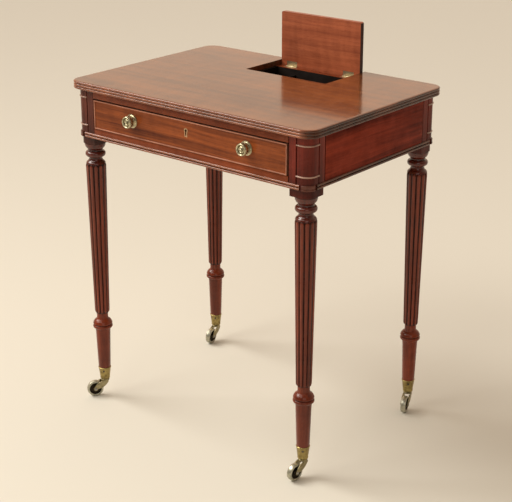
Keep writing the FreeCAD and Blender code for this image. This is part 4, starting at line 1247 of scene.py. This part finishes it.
# Castors: a tapered brass cup driven on to each foot, a horn that swivels under it on a riveted
# pin, and a solid wheel on an iron axle.
cup_brass = old_metal("cup_brass", (0.42, 0.325, 0.125), (0.12, 0.083, 0.033), age=0.85, dull=0.08)
horn_brass = old_metal("horn_brass", (0.36, 0.31, 0.18), (0.12, 0.095, 0.05), age=0.85, dull=0.14)
wheel_brass = old_metal("wheel_brass", (0.52, 0.5, 0.4), (0.1, 0.105, 0.075), age=0.8, dull=0.12)
wheel_recess_dark = old_metal("wheel_recess_dark", (0.07, 0.055, 0.04), (0.02, 0.015, 0.01), age=0.8)
dark_steel = old_metal("dark_steel", (0.12, 0.1, 0.075), (0.04, 0.03, 0.02), age=0.8)
TRAIL = {"front_left": -125, "front_right": -96, "back_left": -81, "back_right": -71}
CUP_PROFILE = moulding(
    (3.1, 42.0), (9.9, 42.0), (10.8, 42.4), (11.1, 43.3), (10.8, 44.2), (10.6, 44.9),
    (13.5, 67.4), (13.9, 68.0), (14.25, 68.7), (14.2, 69.5), (13.7, 70.0), (12.1, 70.0),
    (9.2, 51.1), (3.1, 51.0), (3.1, 42.0)
)
HORN_PLATE = moulding(
    (0, 36.1), (8.2, 36.1), (9.2, 36.7), (9.6, 37.9), (9.4, 39.9), (8.4, 40.9), (7.4, 41.7),
    (3.0, 41.7), (3.0, 46.8), (5.0, 46.8), (5.0, 48.7), (0, 48.8)
)
WHEEL_PROFILE = moulding(
    (2.06, -5.5), (5.0, -5.5), (5.8, -5.1), (6.2, -3.9), (6.8, -2.6), (12.0, -2.4),
    (12.8, -3.2), (13.3, -4.8), (14.1, -5.5), (16.4, -5.4), (17.6, -4.7),
    (arc_points, (17.6, 4.7), 0.9), (16.4, 5.4), (14.1, 5.5), (13.3, 4.8), (12.8, 3.2),
    (12.0, 2.4), (6.8, 2.6), (6.2, 3.9), (5.8, 5.1), (5.0, 5.5), (2.06, 5.5), (2.06, -5.5)
)
AXLE_PROFILE = moulding(
    (0, -9.8), (1.6, -9.7), (2.6, -9.2), (3.1, -8.6), (2.0, -8.6), (2.0, 8.6), (3.1, 8.6),
    (2.6, 9.2), (1.6, 9.7), (0, 9.8)
)
AXLE_HIGH, TRAIL_LONG, EYE = 18.5 * MM, 23 * MM, 4.6 * MM
CHEEK_IN, CHEEK_OUT = 6.1 * MM, 8.6 * MM
RECESS_FROM, RECESS_TO = 6.2 * MM, 13.9 * MM
CUP_SCREW_HIGH, CUP_SCREW_OUT, CUP_SCREW_TURNS = 62 * MM, 13 * MM, (-55, 125)


def cheek_outline():
    """One side of the horn: it curves back and down from the plate to a round eye at the axle."""
    points = moulding(
        (8.0, 36.9), (-6.0, 36.9), (-6.4, 35.1), (-5.6, 33.3), (arc_points, (18.5, 18.0), -3.4, 14)
    )
    for i in range(1, 12):
        a = math.radians(186 + (352 - 186) * i / 12)
        points.append((TRAIL_LONG + EYE * math.cos(a), AXLE_HIGH + EYE * math.sin(a)))
    return points + moulding((27.6, 19.2), (arc_points, (8.6, 35.9), 3.4, 14))[1:]


def in_recess(face, hub):
    """Whether a face lies in the dished side of a wheel, which is finished darker."""
    return RECESS_FROM < (face.center - hub.translation).length < RECESS_TO


cup_screws = []
for corner in LEG_SIGNS:
    axis = cup_axis(corner)
    upright = Matrix.Translation(axis)
    turned("castor_cup_" + corner, CUP_PROFILE, upright, cup_brass, "carcass")
    for degrees in CUP_SCREW_TURNS:
        a = math.radians(degrees)
        way = Vector((math.cos(a), math.sin(a), -0.1))
        spot = Vector((way.x * CUP_SCREW_OUT, way.y * CUP_SCREW_OUT, CUP_SCREW_HIGH))
        cup_screws.append((axis + spot, way))

    swing = upright @ Matrix.Rotation(math.radians(TRAIL[corner]), 4, "Z")
    on_edge = swing @ Matrix.Rotation(math.pi / 2, 4, "X")
    bm = bmesh.new()
    for inner, outer in ((CHEEK_IN, CHEEK_OUT), (-CHEEK_OUT, -CHEEK_IN)):
        prism(bm, cheek_outline(), inner, outer, on_edge)
    bmesh.ops.recalc_face_normals(bm, faces=bm.faces)
    arrises = [e for e in bm.edges if e.calc_face_angle(0) > math.radians(70)]
    bmesh.ops.bevel(bm, geom=arrises, offset=0.6 * MM, segments=2, profile=0.6, affect="EDGES")
    lathe(bm, HORN_PLATE, upright, steps=56)
    body = "swivel_" + corner
    show("castor_horn_" + corner, finish_mesh(bm), horn_brass, body)

    hub = swing @ Matrix.Translation((TRAIL_LONG, 0, AXLE_HIGH))
    hub = hub @ Matrix.Rotation(-math.pi / 2, 4, "X")
    wheel = "castor_wheel_" + corner
    mesh = turned(wheel, WHEEL_PROFILE, hub, wheel_brass, "wheel_" + corner)
    finish_faces(mesh, [wheel_recess_dark], lambda face: int(in_recess(face, hub)))
    turned("castor_axle_" + corner, AXLE_PROFILE, hub, dull_steel, body, steps=32)
screws("castor_screws", cup_screws, dark_steel, "carcass", radius=2.4 * MM)


# Studio: a plain pale floor and a cream surround that is brightest behind the table. Soft daylight
# falls from the left and the front left, with a strip above the front and a weak fill on the right.
REACH = 30.0
floor_mesh = bpy.data.meshes.new("studio_floor")
ends = [(-REACH, -REACH, 0), (REACH, -REACH, 0), (REACH, REACH, 0), (-REACH, REACH, 0)]
floor_mesh.from_pydata(ends, [], [(0, 1, 2, 3)])
floor = placed("studio_floor", floor_mesh)
pale, tree, shader = new_material("pale_floor")
fill(shader.inputs, {"Base Color": (0.72, 0.7, 0.62, 1), "Roughness": 0.9})
floor_mesh.materials.append(pale)

DIM, CREAM = (0.17, 0.15, 0.125, 1), (0.83, 0.62, 0.46, 1)
world = bpy.data.worlds.new("studio")
bpy.context.scene.world = world
world.use_nodes = True
tree = world.node_tree
tree.nodes.clear()
FAR_SIDE = (-0.5, 0.86, 0.0)
way = add_node(tree, "ShaderNodeTexCoord").outputs["Generated"]
behind = add_node(tree, "ShaderNodeVectorMath", {0: way, 1: FAR_SIDE}, operation="DOT_PRODUCT")
surround = blend_colour(spread(behind.outputs["Value"], -0.5, 0.6), DIM, CREAM)
glow = add_node(tree, "ShaderNodeBackground", {"Color": surround, "Strength": 1.0})
add_node(tree, "ShaderNodeOutputWorld", {"Surface": glow.outputs[0]})


def look_along(thing, way):
    """Turns a lamp or the camera to face along a direction."""
    thing.rotation_mode = "QUATERNION"
    thing.rotation_quaternion = Vector(way).to_track_quat("-Z", "Y")


def soft_light(name, spot, aim, size, power, colour):
    """A lamp like a window, turned to a point on the table."""
    lamp = bpy.data.lights.new(name, "AREA")
    lamp.shape, lamp.size, lamp.size_y = "RECTANGLE", size[0], size[1]
    lamp.energy, lamp.color = power, colour
    made = placed(name, lamp)
    made.location = spot
    look_along(made, Vector(aim) - Vector(spot))


sun = placed("left_window", bpy.data.lights.new("left_window", "SUN"))
sun.data.energy, sun.data.angle, sun.data.color = 1.8, math.radians(28), (1.0, 0.96, 0.9)
look_along(sun, (0.66, 0.2, -0.72))
WARM, MIDDLE = (1.0, 0.95, 0.86), (0, 0, 0.5)
soft_light("front_window", (-2.1, -2.6, 3.0), MIDDLE, size=(2.4, 2.0), power=54, colour=WARM)
soft_light("fill", (2.7, -2.5, 2.2), MIDDLE, size=(2.0, 2.0), power=13, colour=(1.0, 0.95, 0.88))
soft_light("strip", (-0.5, -1.9, 2.9), (0, -0.1, 0.7), size=(2.6, 1.2), power=26, colour=WARM)

camera = placed("camera", bpy.data.cameras.new("camera"))
bpy.context.scene.camera = camera
PICTURE_WIDE, FOCAL_PIXELS, SHIFT_PIXELS, SENSOR = 512, 1310.8, -30, 36
camera.data.sensor_width = SENSOR
camera.data.lens = FOCAL_PIXELS / PICTURE_WIDE * SENSOR
camera.data.shift_y = SHIFT_PIXELS / PICTURE_WIDE
turn, drop = 0.689, 0.344
camera.location = (1.6765, -2.0315 + CARCASS_Y, 1.371)
level = math.cos(drop)
look_along(camera, (-math.sin(turn) * level, math.cos(turn) * level, -math.sin(drop)))
bpy.context.scene.view_settings.view_transform = "Standard"
